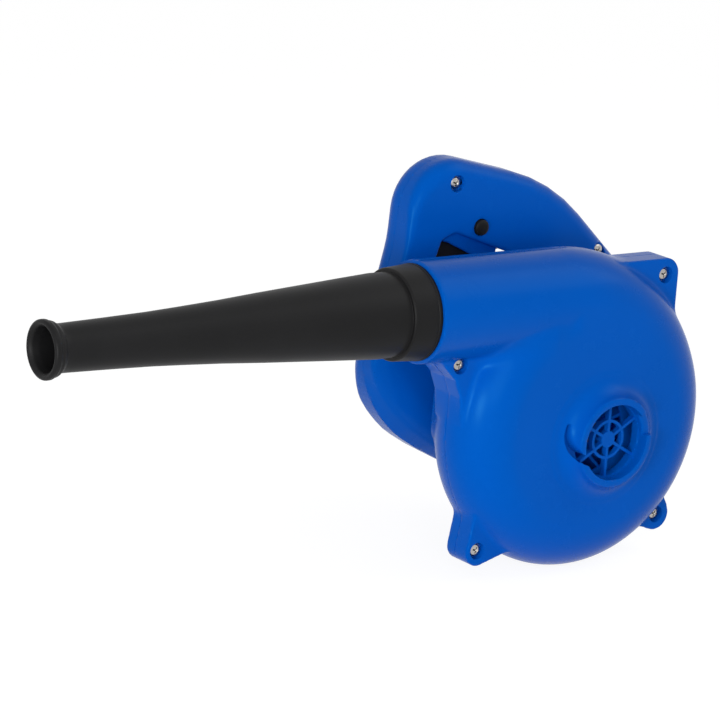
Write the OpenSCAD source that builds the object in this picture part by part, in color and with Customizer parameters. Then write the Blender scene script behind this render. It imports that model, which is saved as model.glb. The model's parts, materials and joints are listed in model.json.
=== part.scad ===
// Handheld electric air blower with a round fan case, side inlet and long nozzle.
// Millimetres. The origin is the centre of the inlet rim.
// +Y runs along the fan axis from inlet to motor, the air leaves towards -X, +Z is up.

/* [Fan case] */
// distance from the inlet rim to the flat front of the case
face_y = 11; // [8:1:14]
// outer radius of the round drum
drum_r = 91; // [88:1:94]
// radius of the outlet duct and of the rounded case edges
duct_r = 30; // [29:0.5:31]
// height of the outlet duct axis above the fan axis
duct_z = 80; // [78:1:82]
// distance from the fan axis to the mouth of the duct
mouth_x = 125.3; // [120:0.1:130]
// wall thickness of the mouldings
wall = 2.5; // [2:0.1:3]
// bore of the duct mouth that takes the nozzle spigot
duct_bore_r = 26.3; // [26:0.1:26.6]

/* [Inlet] */
// radius of the suction inlet
inlet_r = 22.8; // [22:0.1:23.4]
// depth of the round inlet seat
inlet_len = 7.5; // [7:0.1:8]
// number of spokes in the finger guard
guard_spokes = 6; // [5:1:8]

/* [Handle] */
// near face of the loop handle
handle_y = 97; // [95:1:99]
// width of the loop handle across both halves
handle_w = 30; // [28:1:32]
// radius of the motor barrel
barrel_r = 45; // [45:0.5:47]
// flat end of the motor barrel
barrel_end_y = 178; // [178:1:182]
// how far the trigger is squeezed
trigger_travel = 5; // [3:0.5:5]
// how far the lock button is pressed
button_travel = 2.5; // [1.5:0.5:2.5]

/* [Nozzle] */
// length of the nozzle in front of the duct mouth
nozzle_len = 245.3; // [240:0.1:250]
// outer radius of the collar
collar_r = 28; // [27.6:0.1:29]
// bore at the tip
tip_bore_r = 11.8; // [11:0.1:12]

/* [Fan] */
// radius of the fan wheel
impeller_r = 58; // [54:1:59]
// number of blades
impeller_blades = 9; // [7:1:11]

/* [Hidden] */

$fn = 96;
blue = [0.0, 0.33, 0.72];
black = [0.1, 0.1, 0.11];
steel = [0.72, 0.73, 0.75];
copper = [0.72, 0.4, 0.2];
dark_steel = [0.42, 0.43, 0.45];

fit = 0.05;
free = 0.3;
over = 1;
big = 600;

// fan case
seam_y = face_y + duct_r;
back_y = seam_y + duct_r;
drum_x = -5;
drum_z = 6.5;
drum_flat_r = drum_r - duct_r;
scroll_r = duct_z + duct_r;
scroll_flat_r = scroll_r - duct_r;
scroll_x = drum_x - sqrt(pow(scroll_r - drum_r, 2) - drum_z * drum_z);
scroll_start = atan2(drum_z, drum_x - scroll_x);
lug_y = 29;
lug_back_y = 49;
web_back_y = 55;
lug_r = 10.2;
shoulder_x = drum_r - 5.5;
shoulder_len = 30;
shoulder_z = [-4, 36];

// case screws
tongue_screw = [drum_x - drum_r - 1.7, duct_z - duct_r - 1.3];
upper_screw = [drum_x + drum_r - 34.2, scroll_r - 19.4];
lower_screw = [drum_x + drum_r - 24.4, drum_z - drum_r + 25];
left_screw = [drum_x - drum_r + 21.3, drum_z - drum_r + 18.9];
case_screw_at = [tongue_screw, upper_screw, lower_screw, left_screw];
screw_r = 2;
screw_head_r = 3.8;
screw_head_h = 2.6;
recess_r = 5;
recess_depth = 4;
case_screw_len = 13;

// handle
handle_far_y = handle_y + handle_w;
mid_y = handle_y + handle_w / 2;
handle_x = drum_x + drum_r - 3;
handle_screw_at = [[-56.9, 138.7], [handle_x - 26, 89.8], [-50, -22], [handle_x - 17, 28]];
handle_screw_len = 17;
boss_r = 5.8;
bevel_at = [-93, 9.4];
bevel_turn = 47.7;
bevel_tilt = 29.5;
trigger_at = [-53, 94];
trigger_w = 15.6;
slot_half = trigger_w / 2 + 0.7;
guide_half = slot_half + 2;
stem_w = 12;
stem_top = 16;
spring_coil_r = 3.2;
spring_wire_r = 0.5;
spring_turns = 4;
switch_z = trigger_at[1] + 23.6;
switch_size = [42, 18, 14];
contact_size = [12.5, 13, 13.4];
cord_x = handle_x - 5;
cord_z = 62;
cord_r = 4;
bush_r = 7;
bush_len = 10;
bush_lip = 2;
button_at = [-37, 111.2];
button_r = 4.8;
button_proud = 2.5;
button_lip = 0.8;
plunger_r = 2;

// inlet spout
spout_r = inlet_r + 4.2;
throat_r = inlet_r - 0.6;
throat_end_y = face_y + 3;
flare_r = 12.5;
catch_at = [-15.5, 4.5];
catch_r = 17;
catch_land_at = [-15.5, 7];
catch_land_r = 13.9;
catch_top_z = 12;
pocket_floor_y = 8.5;
gap_start = 5;
gap_angle = 32;
gap_depth = 4;
guard_hub_r = 5;
guard_ring_r = 12;
guard_y = inlet_len + 0.7;
guard_h = 3.6;
spoke_w = 1.8;

// nozzle
nozzle_spigot = 18;
nozzle_wall = 2.6;
collar_len = 18.5;
tube_base_r = collar_r - 3.3;
tube_neck_r = tip_bore_r + 3.2;
tube_tip_r = tip_bore_r + 1.4;
neck_at = nozzle_len * 0.7;
tip_lip_r = tip_bore_r + 4.6;
tip_len = 9;
bead_r = 2.2;
spigot_r = duct_bore_r - fit;

// rotor
shaft_tip_y = 24;
shaft_end_y = barrel_end_y - 3.5;
shaft_front_r = 4;
shaft_bearing_r = 5;
shaft_mid_r = 6;
front_bearing_y = 66;
front_bearing_w = 8;
front_bearing_r = 13;
rear_bearing_y = barrel_end_y - 11;
rear_bearing_w = 7;
rear_bearing_r = 11;
core_y = 103;
commutator_y = barrel_end_y - 25;
commutator_len = 12;
commutator_r = 11.5;
core_len = commutator_y - core_y - 10;
armature_r = 19.3;
air_gap = 0.6;
winding_in_r = 8.5;
slots = 12;
slot_r = 2.2;
slot_at_r = 15.8;
nut_y = 26;
nut_h = 6.6;
washer_h = 1.4;
wheel_y = nut_y + nut_h + washer_h;
wheel_back_y = 60;
disc_y = 55;
disc_t = 2.2;
shroud_y = 27;
eye_r = 26;
hub_r = 10;
blade_t = 1.8;
blade_arc_r = 46;
motor_fan_y = 79;
motor_fan_r = 37;
motor_fan_w = 10;
motor_fan_blades = 14;

// motor
stator_r = 37.5;
stator_screw_at = 34;
stator_screw_r = 2;
pole_half = 34;
coil_in_r = 21.2;
coil_out_r = 29.4;
window_r = 30;
coil_end = 7;
baffle_y = 91.5;
baffle_t = 1.5;
seat_r = 13.2;
brush_y = commutator_y + commutator_len / 2;
brush_w = 8;
brush_t = 5;
brush_out = 25;
holder_in = 14;
holder_out = 37.5;
holder_wall = 1.6;
cap_r = 7.5;
cap_h = 7;
cap_face = barrel_r + 2;
barrel_in_r = barrel_r - wall;
end_wall_y = barrel_end_y - wall;

// Flat outline drawn in X and Z, filled from y0 to y1.
module slab(y0, y1) {
    translate([0, y1, 0])
        rotate([90, 0, 0])
            linear_extrude(y1 - y0)
                children();
}

// Outline of radius and y turned about the fan axis.
module lathe() {
    rotate([-90, 0, 0])
        rotate_extrude()
            children();
}

module rod(at, r, y0, y1) {
    translate([at[0], y0, at[1]])
        rotate([-90, 0, 0])
            cylinder(h = y1 - y0, r = r);
}

module tube(r_out, r_in, y0, y1) {
    difference() {
        rod([0, 0], r_out, y0, y1);
        rod([0, 0], r_in, y0 - over, y1 + over);
    }
}

function unit(v) = v / norm(v);
function turned(v) = [-v[1], v[0]];
function bend(a, b, c) = cross(unit(b - a), unit(c - b));

// Corner of a loop moved inwards by d (the loop runs clockwise).
function moved(a, b, c, d) =
    let (u = unit(b - a), v = unit(c - b))
    b - d * (turned(u) + turned(v)) / (1 + u * v);

// Arc of radius r that rounds corner b.
function arc(a, b, c, r) =
    let (
        u = unit(a - b),
        v = unit(c - b),
        half = acos(u * v) / 2,
        centre = b + unit(u + v) * r / sin(half),
        from = b + u * r / tan(half) - centre,
        sweep = (180 - 2 * half) * sign(bend(a, b, c)),
        steps = max(2, ceil(abs(sweep) / 6))
    )
    [for (i = [0:steps]) centre + [
        from[0] * cos(sweep * i / steps) - from[1] * sin(sweep * i / steps),
        from[0] * sin(sweep * i / steps) + from[1] * cos(sweep * i / steps)
    ]];

// Loop of [x, z, radius] corners, inset by d, as a smooth outline.
module loop(corners, d = 0) {
    n = len(corners);
    at = [for (c = corners) [c[0], c[1]]];
    inset = [for (i = [0:n - 1]) moved(at[(i + n - 1) % n], at[i], at[(i + 1) % n], d)];
    polygon([for (i = [0:n - 1])
        let (
            a = inset[(i + n - 1) % n],
            b = inset[i],
            c = inset[(i + 1) % n],
            r = max(0.5, corners[i][2] + d * sign(bend(a, b, c)))
        )
        each arc(a, b, c, r)]);
}

// Outside of the loop handle, clockwise from the lower left.
handle_outline = [
    [-107.5, 12, 18],
    [-89.5, 103, 70],
    [-86, 160.5, 32],
    [20, 134.5, 120],
    [handle_x, 75.5, 18],
    [handle_x - 3, 8, 22],
    [20, -42, 10],
    [-40, -38.5, 14],
    [-90, -11.5, 30]
];

// Gap for the hand.
finger_gap = [
    [-84, 47, 14],
    [-65, 105, 4],
    [-55, 109, 6],
    [-18, 95.5, 14],
    [handle_x - 37, 74, 12],
    [handle_x - 29, 47, 10]
];

// Block around the trigger, from the side.
guide_outline = [
    [-62, 103.5],
    [-57, 102.2],
    [-38.5, 93.3],
    [-30, 90],
    [-20.5, 90],
    [-20.5, 99.5],
    [-55, 110]
];

// Round-edged section of the case, or its front or rear half.
module case_section(flat_r, gap, half) {
    r = duct_r - gap;
    intersection() {
        union() {
            translate([0, -r])
                square([flat_r, 2 * r]);
            translate([flat_r, 0])
                circle(r = r);
        }
        translate([0, half == "rear" ? -r : 0])
            square([flat_r + r + over, r]);
    }
}

module whole_section(flat_r, gap) {
    r = duct_r - gap;
    translate([0, -r])
        square([flat_r, 2 * r]);
    translate([flat_r, 0])
        circle(r = r);
}

// Solid half of the drum, scroll and duct.
module case_half(half) {
    translate([drum_x, seam_y, drum_z])
        rotate([90, 0, 0])
            rotate_extrude()
                case_section(drum_flat_r, 0, half);
    translate([scroll_x, seam_y, 0])
        rotate([90, 0, 0])
            rotate([0, 0, scroll_start])
                rotate_extrude(angle = 90 - scroll_start)
                    case_section(scroll_flat_r, 0, half);
    translate([-mouth_x, seam_y, duct_z])
        rotate([0, 90, 0])
            linear_extrude(mouth_x + scroll_x)
                intersection() {
                    circle(r = duct_r);
                    translate([-duct_r - over, half == "rear" ? 0 : -duct_r - over])
                        square([2 * (duct_r + over), duct_r + over]);
                }
}

// Air space inside the drum, scroll and duct.
module case_inside() {
    translate([drum_x, seam_y, drum_z])
        rotate([90, 0, 0])
            rotate_extrude()
                whole_section(drum_flat_r, wall);
    translate([scroll_x, seam_y, 0])
        rotate([90, 0, 0])
            rotate([0, 0, scroll_start])
                rotate_extrude(angle = 90 - scroll_start)
                    whole_section(scroll_flat_r, wall);
    translate([-mouth_x - over, seam_y, duct_z])
        rotate([0, 90, 0])
            cylinder(h = mouth_x + over + scroll_x, r = duct_bore_r);
}

module tongue_outline() {
    translate(tongue_screw)
        polygon([
            [-16.3, 9.3],
            [-16, 5.6],
            [-8.8, -2.7],
            [-2.7, -8.7],
            [1.9, -19.9],
            [3.7, -34.7],
            [37.7, -34.7],
            [37.7, 17.3],
            [-16.3, 17.3]
        ]);
}

module upper_lug_outline() {
    translate(upper_screw) {
        circle(r = lug_r);
        polygon([[-37.8, lug_r], [0, lug_r], [lug_r, 0], [lug_r, -26.6], [-21.8, -30.6]]);
    }
}

module lower_lug_outline() {
    translate(lower_screw) {
        circle(r = lug_r - 0.4);
        polygon([[5.4, 11.5], [7.9, 5.5], [-5.6, -8], [-11.6, -6.5], [-21.6, 9.5]]);
    }
}

module left_lug_outline() {
    translate(left_screw) {
        translate([0.9, -1])
            circle(r = lug_r - 1.8);
        polygon([
            [-3.8, 21.6],
            [-7.5, 0.6],
            [-2.3, -8.8],
            [4.7, -8.6],
            [22.7, -3.4],
            [24.7, 15.6]
        ]);
    }
}

module lug_outlines() {
    tongue_outline();
    upper_lug_outline();
    lower_lug_outline();
    left_lug_outline();
}

module case_screw_holes() {
    for (at = case_screw_at) {
        rod(at, recess_r, lug_y - over, lug_y + recess_depth);
        rod(at, screw_r + fit, lug_y, lug_back_y - over);
    }
}

// Raised rim that flares out into the flat front.
module spout() {
    difference() {
        lathe()
            polygon([
                [inlet_r - over, 0],
                [spout_r - 1.2, 0],
                [spout_r, 1],
                [spout_r + flare_r, 1],
                [spout_r + flare_r, face_y + 1],
                [inlet_r - over, face_y + 1]
            ]);
        lathe()
            translate([spout_r + flare_r, face_y - flare_r])
                circle(r = flare_r);
        lathe()
            translate([spout_r + flare_r - 0.5, 0])
                square([3, face_y]);
    }
}

// Crescent recess beside the inlet for the catch of a hose or bag, and the gap in the rim.
module hose_catch() {
    difference() {
        rod(catch_at, catch_r, -over, pocket_floor_y);
        rod(catch_land_at, catch_land_r, -2 * over, pocket_floor_y + over);
        translate([-big / 2, -2 * over, catch_top_z])
            cube([big, pocket_floor_y + 3 * over, big]);
    }
    rotate([90, 0, 0])
        translate([0, 0, -gap_depth])
            rotate([0, 0, gap_start])
                rotate_extrude(angle = gap_angle)
                    translate([inlet_r - over, 0])
                        square([spout_r - inlet_r + 3, gap_depth + over]);
}

module finger_guard() {
    rod([0, 0], guard_hub_r, guard_y, guard_y + guard_h);
    tube(guard_ring_r, guard_ring_r - spoke_w, guard_y, guard_y + guard_h);
    for (i = [0:guard_spokes - 1])
        rotate([0, 30 + i * 360 / guard_spokes, 0])
            translate([guard_hub_r - 1, guard_y, -spoke_w / 2])
                cube([throat_r - guard_hub_r + 1.6, guard_h, spoke_w]);
}

module front_cover() {
    color(blue) {
        difference() {
            union() {
                case_half("front");
                slab(lug_y, seam_y)
                    lug_outlines();
                spout();
            }
            case_inside();
            rod([0, 0], inlet_r, -over, inlet_len);
            rod([0, 0], throat_r, inlet_len - over, throat_end_y + over);
            case_screw_holes();
            hose_catch();
        }
        finger_guard();
    }
}

module barrel_vents() {
    for (i = [0:8])
        rotate([0, 50 + i * 10, 0])
            translate([barrel_in_r - 2, motor_fan_y - 2, -1.5])
                cube([8, 13, 3]);
}

module handle_boss(at, y0, y1) {
    rod(at, boss_r, y0, y1);
}

// Slot that the trigger slides in.
module trigger_slot() {
    translate([trigger_at[0] - 17.3, mid_y - slot_half, trigger_at[1] - 5])
        cube([35.8, 2 * slot_half, 24]);
}

// Space outside the sloping lower left edge of the near handle half, grown by d.
module handle_bevel(d) {
    translate([bevel_at[0], handle_y, bevel_at[1]])
        rotate([0, bevel_turn, 0])
            rotate([-bevel_tilt, 0, 0])
                translate([-60, -30, -60])
                    cube([120, 80, 60 + d]);
}

// Handle shell between two planes, open at the middle.
module handle_shell(y0, y1, in0, in1) {
    difference() {
        slab(y0, y1)
            difference() {
                loop(handle_outline);
                loop(finger_gap);
            }
        difference() {
            slab(in0, in1)
                difference() {
                    loop(handle_outline, wall);
                    loop(finger_gap, -wall);
                }
            rod([0, 0], barrel_r, in0 - over, in1 + over);
        }
    }
}

// Wall along the sloping edge.
module bevel_wall() {
    intersection() {
        slab(handle_y, mid_y)
            loop(handle_outline);
        difference() {
            handle_bevel(wall);
            handle_bevel(0);
        }
    }
}

// Block under the grip, on both sides of the trigger.
module trigger_guide(y0, y1) {
    slab(y0, y1)
        polygon(guide_outline);
}

module main_housing() {
    color(blue)
        difference() {
            union() {
                difference() {
                    union() {
                        case_half("rear");
                        slab(seam_y, lug_back_y)
                            lug_outlines();
                        slab(seam_y, web_back_y)
                            tongue_outline();
                        translate([-shoulder_x, seam_y + 4, shoulder_z[0]])
                            cube([shoulder_len, duct_r - 4, shoulder_z[1] - shoulder_z[0]]);
                        rod([0, 0], barrel_r, back_y - 4, mid_y);
                    }
                    case_inside();
                    rod([0, 0], barrel_in_r, back_y + 1, mid_y + over);
                }
                difference() {
                    union() {
                        difference() {
                            handle_shell(handle_y, mid_y, handle_y + wall, mid_y + over);
                            handle_bevel(0);
                        }
                        bevel_wall();
                    }
                    rod([0, 0], barrel_in_r, handle_y - over, mid_y + over);
                }
                trigger_guide(mid_y - guide_half, mid_y);
                for (at = handle_screw_at)
                    handle_boss(at, handle_y + 1, mid_y);
                rod([0, 0], front_bearing_r + 3, front_bearing_y - 2, front_bearing_y + 10);
                tube(barrel_in_r + 1, stator_r + fit, core_y, mid_y);
            }
            rod([0, 0], front_bearing_r - 3.5, back_y - 12, back_y + 8);
            rod([0, 0], front_bearing_r + fit, front_bearing_y, back_y + 8);
            for (at = case_screw_at)
                rod(at, screw_r + fit, seam_y - over, lug_back_y - over);
            for (at = handle_screw_at) {
                rod(at, recess_r, handle_y - over, handle_y + recess_depth);
                rod(at, screw_r + fit, handle_y, mid_y + over);
            }
            rod(button_at, button_r + free, handle_y - over, handle_y + wall + over);
            trigger_slot();
            barrel_vents();
            cord_hole();
        }
}

module cord_hole() {
    translate([cord_x - 8, mid_y, cord_z])
        rotate([0, 90, 0])
            cylinder(h = 2 * bush_len, r = bush_r + fit);
}

module end_vents() {
    for (i = [0:15])
        rotate([0, i * 22.5, 0])
            translate([seat_r + 6, end_wall_y - over, -1.4])
                cube([19, wall + 2 * over, 2.8]);
}

module rear_housing() {
    color(blue)
        difference() {
            union() {
                tube(barrel_r, barrel_in_r, mid_y, barrel_end_y);
                rod([0, 0], barrel_r, end_wall_y, barrel_end_y);
                difference() {
                    handle_shell(mid_y, handle_far_y, mid_y - over, handle_far_y - wall);
                    rod([0, 0], barrel_in_r, mid_y - over, handle_far_y + over);
                }
                for (at = handle_screw_at)
                    handle_boss(at, mid_y, handle_far_y - 1);
                trigger_guide(mid_y, mid_y + guide_half);
                tube(seat_r + 2.5, seat_r + fit, rear_bearing_y - 0.5, end_wall_y + 1);
                tube(barrel_in_r + 1, stator_r + fit, mid_y, core_y + core_len);
                for (side = [-1, 1])
                    translate([side * (barrel_in_r - 1), brush_y, 0])
                        rotate([0, side * 90, 0])
                            cylinder(h = wall + 3, r = cap_r + 2.5);
            }
            for (at = handle_screw_at)
                rod(at, screw_r + fit, mid_y - over, handle_far_y - wall - 1);
            for (side = [-1, 1])
                translate([side * (holder_out - 2), brush_y, 0])
                    rotate([0, side * 90, 0])
                        cylinder(h = 16, r = cap_r + fit);
            trigger_slot();
            end_vents();
            cord_hole();
        }
}

module cord_bush() {
    color(black)
        translate([cord_x - 3, mid_y, cord_z])
            rotate([0, 90, 0])
                difference() {
                    union() {
                        cylinder(h = bush_len, r = bush_r);
                        translate([0, 0, bush_len - bush_lip])
                            cylinder(h = bush_lip, r = bush_r + 1.5);
                    }
                    translate([0, 0, -over])
                        cylinder(h = bush_len + 2 * over, r = cord_r);
                }
}

module nozzle() {
    color(black)
        translate([-mouth_x, seam_y, duct_z])
            rotate([0, -90, 0])
                rotate_extrude()
                    difference() {
                        union() {
                            polygon([
                                [0, -nozzle_spigot],
                                [spigot_r - 0.6, -nozzle_spigot],
                                [spigot_r, -nozzle_spigot + 1],
                                [spigot_r, 0],
                                [collar_r, 0],
                                [collar_r, 2],
                                [collar_r - 0.2, 2.2],
                                [collar_r - 1.3, collar_len - 0.8],
                                [collar_r - 2, collar_len],
                                [tube_base_r, collar_len],
                                [tube_neck_r, neck_at],
                                [tube_tip_r, nozzle_len - tip_len],
                                [tip_lip_r - 1.2, nozzle_len - tip_len],
                                [tip_lip_r - 1.2, nozzle_len - bead_r],
                                [0, nozzle_len - bead_r]
                            ]);
                            translate([tip_lip_r - bead_r, nozzle_len - bead_r])
                                circle(r = bead_r);
                            translate([0, nozzle_len - 2 * bead_r])
                                square([tip_lip_r - bead_r, 2 * bead_r]);
                        }
                        polygon([
                            [0, -nozzle_spigot - over],
                            [spigot_r - nozzle_wall, -nozzle_spigot - over],
                            [spigot_r - nozzle_wall, 0],
                            [tube_base_r - nozzle_wall, collar_len],
                            [tube_neck_r - nozzle_wall + 0.4, neck_at],
                            [tip_bore_r, neck_at + 18],
                            [tip_bore_r, nozzle_len + over],
                            [0, nozzle_len + over]
                        ]);
                    }
}

module screw(len) {
    difference() {
        union() {
            rod([0, 0], screw_r, 0, len);
            rod([0, 0], screw_head_r, -screw_head_h + 0.8, 0);
            rod([0, 0], screw_head_r - 0.7, -screw_head_h, 0);
        }
        for (a = [0, 90])
            rotate([0, a, 0])
                translate([-2, -screw_head_h - over, -0.45])
                    cube([4, over + 1.5, 0.9]);
    }
}

module case_screws() {
    color(steel)
        for (at = case_screw_at)
            translate([at[0], lug_y + recess_depth, at[1]])
                screw(case_screw_len);
}

module handle_screws() {
    color(steel)
        for (at = handle_screw_at)
            translate([at[0], handle_y + recess_depth, at[1]])
                screw(handle_screw_len);
}

module lock_button() {
    color(black) {
        rod(button_at, button_r, handle_y - button_proud, handle_y + wall + 1);
        rod(button_at, button_r + button_lip, handle_y + wall + 0.5, handle_y + wall + 1.8);
        rod(button_at, plunger_r, handle_y + wall + 1, handle_y + wall + 6);
    }
}

module trigger() {
    color(black) {
        slab(mid_y - trigger_w / 2, mid_y + trigger_w / 2)
            translate(trigger_at)
                polygon([
                    [-9.6, 11],
                    [-16.7, -7.5],
                    [-15.8, -10.6],
                    [-13, -11.4],
                    [-5, -8.6],
                    [4, -7.5],
                    [16, -3.5],
                    [17, 0.5],
                    [9, 4],
                    [9, 11]
                ]);
        translate([trigger_at[0] - 7, mid_y - stem_w / 2, trigger_at[1] + 10])
            cube([14, stem_w, stem_top - 10]);
    }
}

module trigger_spring() {
    color(steel)
        translate([trigger_at[0], mid_y, trigger_at[1] + stem_top + free])
            linear_extrude(
                height = switch_z - trigger_at[1] - stem_top - 2 * free,
                twist = -360 * spring_turns,
                slices = 16 * spring_turns,
                $fn = 8
            )
                translate([spring_coil_r, 0])
                    circle(r = spring_wire_r, $fn = 8);
}

module switch_body() {
    color(black)
        difference() {
            union() {
                translate([trigger_at[0] - 9, mid_y - switch_size[1] / 2, switch_z])
                    cube(switch_size);
                translate([button_at[0] - contact_size[0] / 2, mid_y - 6, switch_z - 12.4])
                    cube(contact_size);
            }
            rod(button_at, plunger_r + free, mid_y - 7, mid_y + 1);
        }
}

module blade_outline(r0, r1, bow, t) {
    intersection() {
        difference() {
            translate([0, bow])
                circle(r = bow);
            translate([0, bow])
                circle(r = bow - t);
            circle(r = r0);
            translate([-big, -big / 2])
                square([big, big]);
        }
        circle(r = r1);
    }
}

module impeller() {
    color(black)
        difference() {
            union() {
                rod([0, 0], hub_r, wheel_y, wheel_back_y);
                rod([0, 0], impeller_r, disc_y, disc_y + disc_t);
                tube(impeller_r, eye_r, shroud_y, shroud_y + disc_t);
                slab(shroud_y + 1, disc_y + 1)
                    for (i = [0:impeller_blades - 1])
                        rotate([0, 0, i * 360 / impeller_blades])
                            blade_outline(eye_r + 0.6, impeller_r - 0.6, blade_arc_r, blade_t);
            }
            rod([0, 0], shaft_front_r + fit, wheel_y - over, wheel_back_y + over);
        }
}

module impeller_nut() {
    color(steel)
        difference() {
            translate([0, nut_y, 0])
                rotate([-90, 0, 0])
                    cylinder(h = nut_h, r = 7.5, $fn = 6);
            rod([0, 0], shaft_front_r + fit, nut_y - over, nut_y + nut_h + over);
        }
}

module impeller_washer() {
    color(steel)
        tube(8.5, shaft_front_r + fit, nut_y + nut_h, wheel_y);
}

module impeller_spacer() {
    color(steel)
        tube(7, shaft_bearing_r + fit, wheel_back_y, front_bearing_y);
}

module armature_shaft() {
    color(steel)
        lathe()
            polygon([
                [0, shaft_tip_y],
                [shaft_front_r - 0.8, shaft_tip_y],
                [shaft_front_r, shaft_tip_y + 0.8],
                [shaft_front_r, wheel_back_y],
                [shaft_bearing_r, wheel_back_y],
                [shaft_bearing_r, front_bearing_y + front_bearing_w],
                [shaft_mid_r, front_bearing_y + front_bearing_w],
                [shaft_mid_r, rear_bearing_y],
                [shaft_front_r, rear_bearing_y],
                [shaft_front_r, shaft_end_y],
                [0, shaft_end_y]
            ]);
}

module slot_pattern(r) {
    for (i = [0:slots - 1])
        rotate([0, 0, i * 360 / slots])
            translate([slot_at_r, 0])
                circle(r = r, $fn = 32);
}

module armature_core() {
    color(dark_steel)
        slab(core_y, core_y + core_len)
            difference() {
                circle(r = armature_r);
                circle(r = shaft_mid_r + fit);
                slot_pattern(slot_r);
                for (i = [0:slots - 1])
                    rotate([0, 0, i * 360 / slots])
                        translate([slot_at_r, -0.6])
                            square([6, 1.2]);
            }
}

module armature_windings() {
    color(copper) {
        slab(core_y - 2, core_y + core_len + 2)
            slot_pattern(slot_r - fit);
        for (y = [core_y - 9, core_y + core_len + 1])
            lathe()
                difference() {
                    polygon([
                        [winding_in_r, y],
                        [armature_r - 5.3, y],
                        [armature_r - 1.8, y + 2.5],
                        [armature_r - 1.5, y + 8],
                        [winding_in_r, y + 8]
                    ]);
                    translate([winding_in_r - 1.5, y - over])
                        square([1.5, 10]);
                }
    }
}

module commutator() {
    color(copper)
        slab(commutator_y, commutator_y + commutator_len)
            difference() {
                circle(r = commutator_r);
                circle(r = shaft_mid_r + fit);
                for (i = [0:2 * slots - 1])
                    rotate([0, 0, i * 180 / slots])
                        translate([commutator_r - 1.2, -0.3])
                            square([3, 0.6]);
            }
}

module motor_fan() {
    color(black)
        difference() {
            union() {
                rod([0, 0], hub_r, motor_fan_y, motor_fan_y + motor_fan_w);
                rod([0, 0], motor_fan_r, motor_fan_y, motor_fan_y + 1.6);
                slab(motor_fan_y, motor_fan_y + motor_fan_w)
                    for (i = [0:motor_fan_blades - 1])
                        rotate([0, 0, i * 360 / motor_fan_blades])
                            translate([20, -0.8])
                                square([motor_fan_r - 20.5, 1.6]);
            }
            rod([0, 0], shaft_mid_r + fit, motor_fan_y - over, motor_fan_y + motor_fan_w + over);
        }
}

// Deep-groove ball bearing: bore, outside radius, ball circle and ball.
front_bearing = [shaft_bearing_r, front_bearing_r, 9, 2.4];
rear_bearing = [shaft_front_r, rear_bearing_r, 7.5, 2];

module outer_ring(b, y, w) {
    lathe()
        difference() {
            translate([b[2] + b[3] * 0.5, y])
                square([b[1] - b[2] - b[3] * 0.5, w]);
            translate([b[2], y + w / 2])
                circle(r = b[3] + fit);
        }
}

module inner_ring(b, y, w) {
    lathe()
        difference() {
            translate([b[0] + fit, y])
                square([b[2] - b[3] * 0.5 - b[0] - fit, w]);
            translate([b[2], y + w / 2])
                circle(r = b[3] + fit);
        }
}

module balls(b, y, w, count) {
    for (i = [0:count - 1])
        rotate([0, i * 360 / count, 0])
            translate([b[2], y + w / 2, 0])
                sphere(r = b[3], $fn = 32);
}

module front_bearing_outer_ring() {
    color(steel)
        outer_ring(front_bearing, front_bearing_y, front_bearing_w);
}

module front_bearing_inner_ring() {
    color(steel)
        inner_ring(front_bearing, front_bearing_y, front_bearing_w);
}

module front_bearing_balls() {
    color(steel)
        balls(front_bearing, front_bearing_y, front_bearing_w, 8);
}

module rear_bearing_outer_ring() {
    color(steel)
        outer_ring(rear_bearing, rear_bearing_y, rear_bearing_w);
}

module rear_bearing_inner_ring() {
    color(steel)
        inner_ring(rear_bearing, rear_bearing_y, rear_bearing_w);
}

module rear_bearing_balls() {
    color(steel)
        balls(rear_bearing, rear_bearing_y, rear_bearing_w, 8);
}

module bearing_seat() {
    color(black)
        tube(seat_r, rear_bearing_r + fit, rear_bearing_y, end_wall_y);
}

module ring_sector(r0, r1, a0, a1, y0, y1) {
    translate([0, y1, 0])
        rotate([90, 0, 0])
            rotate([0, 0, a0])
                rotate_extrude(angle = a1 - a0)
                    translate([r0, 0])
                        square([r1 - r0, y1 - y0]);
}

module stator_rod(side, r, y0, y1) {
    rod([0, side * stator_screw_at], r, y0, y1);
}

module stator_core() {
    color(dark_steel)
        difference() {
            tube(stator_r, armature_r + air_gap, core_y, core_y + core_len);
            for (a = [0, 180])
                ring_sector(
                    armature_r,
                    window_r,
                    a - pole_half,
                    a + pole_half,
                    core_y - over,
                    core_y + core_len + over
                );
            for (side = [-1, 1])
                stator_rod(side, stator_screw_r + 0.2, core_y - over, core_y + core_len + over);
        }
}

module field_coils() {
    color(copper)
        for (a = [0, 180]) {
            for (leg = [a + 5, a + 153])
                ring_sector(
                    coil_in_r + 0.4,
                    coil_out_r - 0.4,
                    leg,
                    leg + 22,
                    core_y - 4,
                    core_y + core_len + 4
                );
            for (y = [core_y - coil_end - 1, core_y + core_len + 1])
                ring_sector(coil_in_r, coil_out_r, a + 4, a + 176, y, y + coil_end);
        }
}

module stator_screws() {
    color(steel)
        for (side = [-1, 1]) {
            stator_rod(side, stator_screw_r, core_y - 6, core_y + core_len + 0.5);
            stator_rod(side, 1.7 * stator_screw_r, core_y + core_len, core_y + core_len + 2.5);
        }
}

module air_baffle() {
    color(black)
        difference() {
            tube(barrel_in_r - fit, 20.4, baffle_y, baffle_y + baffle_t);
            for (side = [-1, 1])
                stator_rod(side, stator_screw_r + 0.5, baffle_y - over, baffle_y + baffle_t + over);
        }
}

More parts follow.
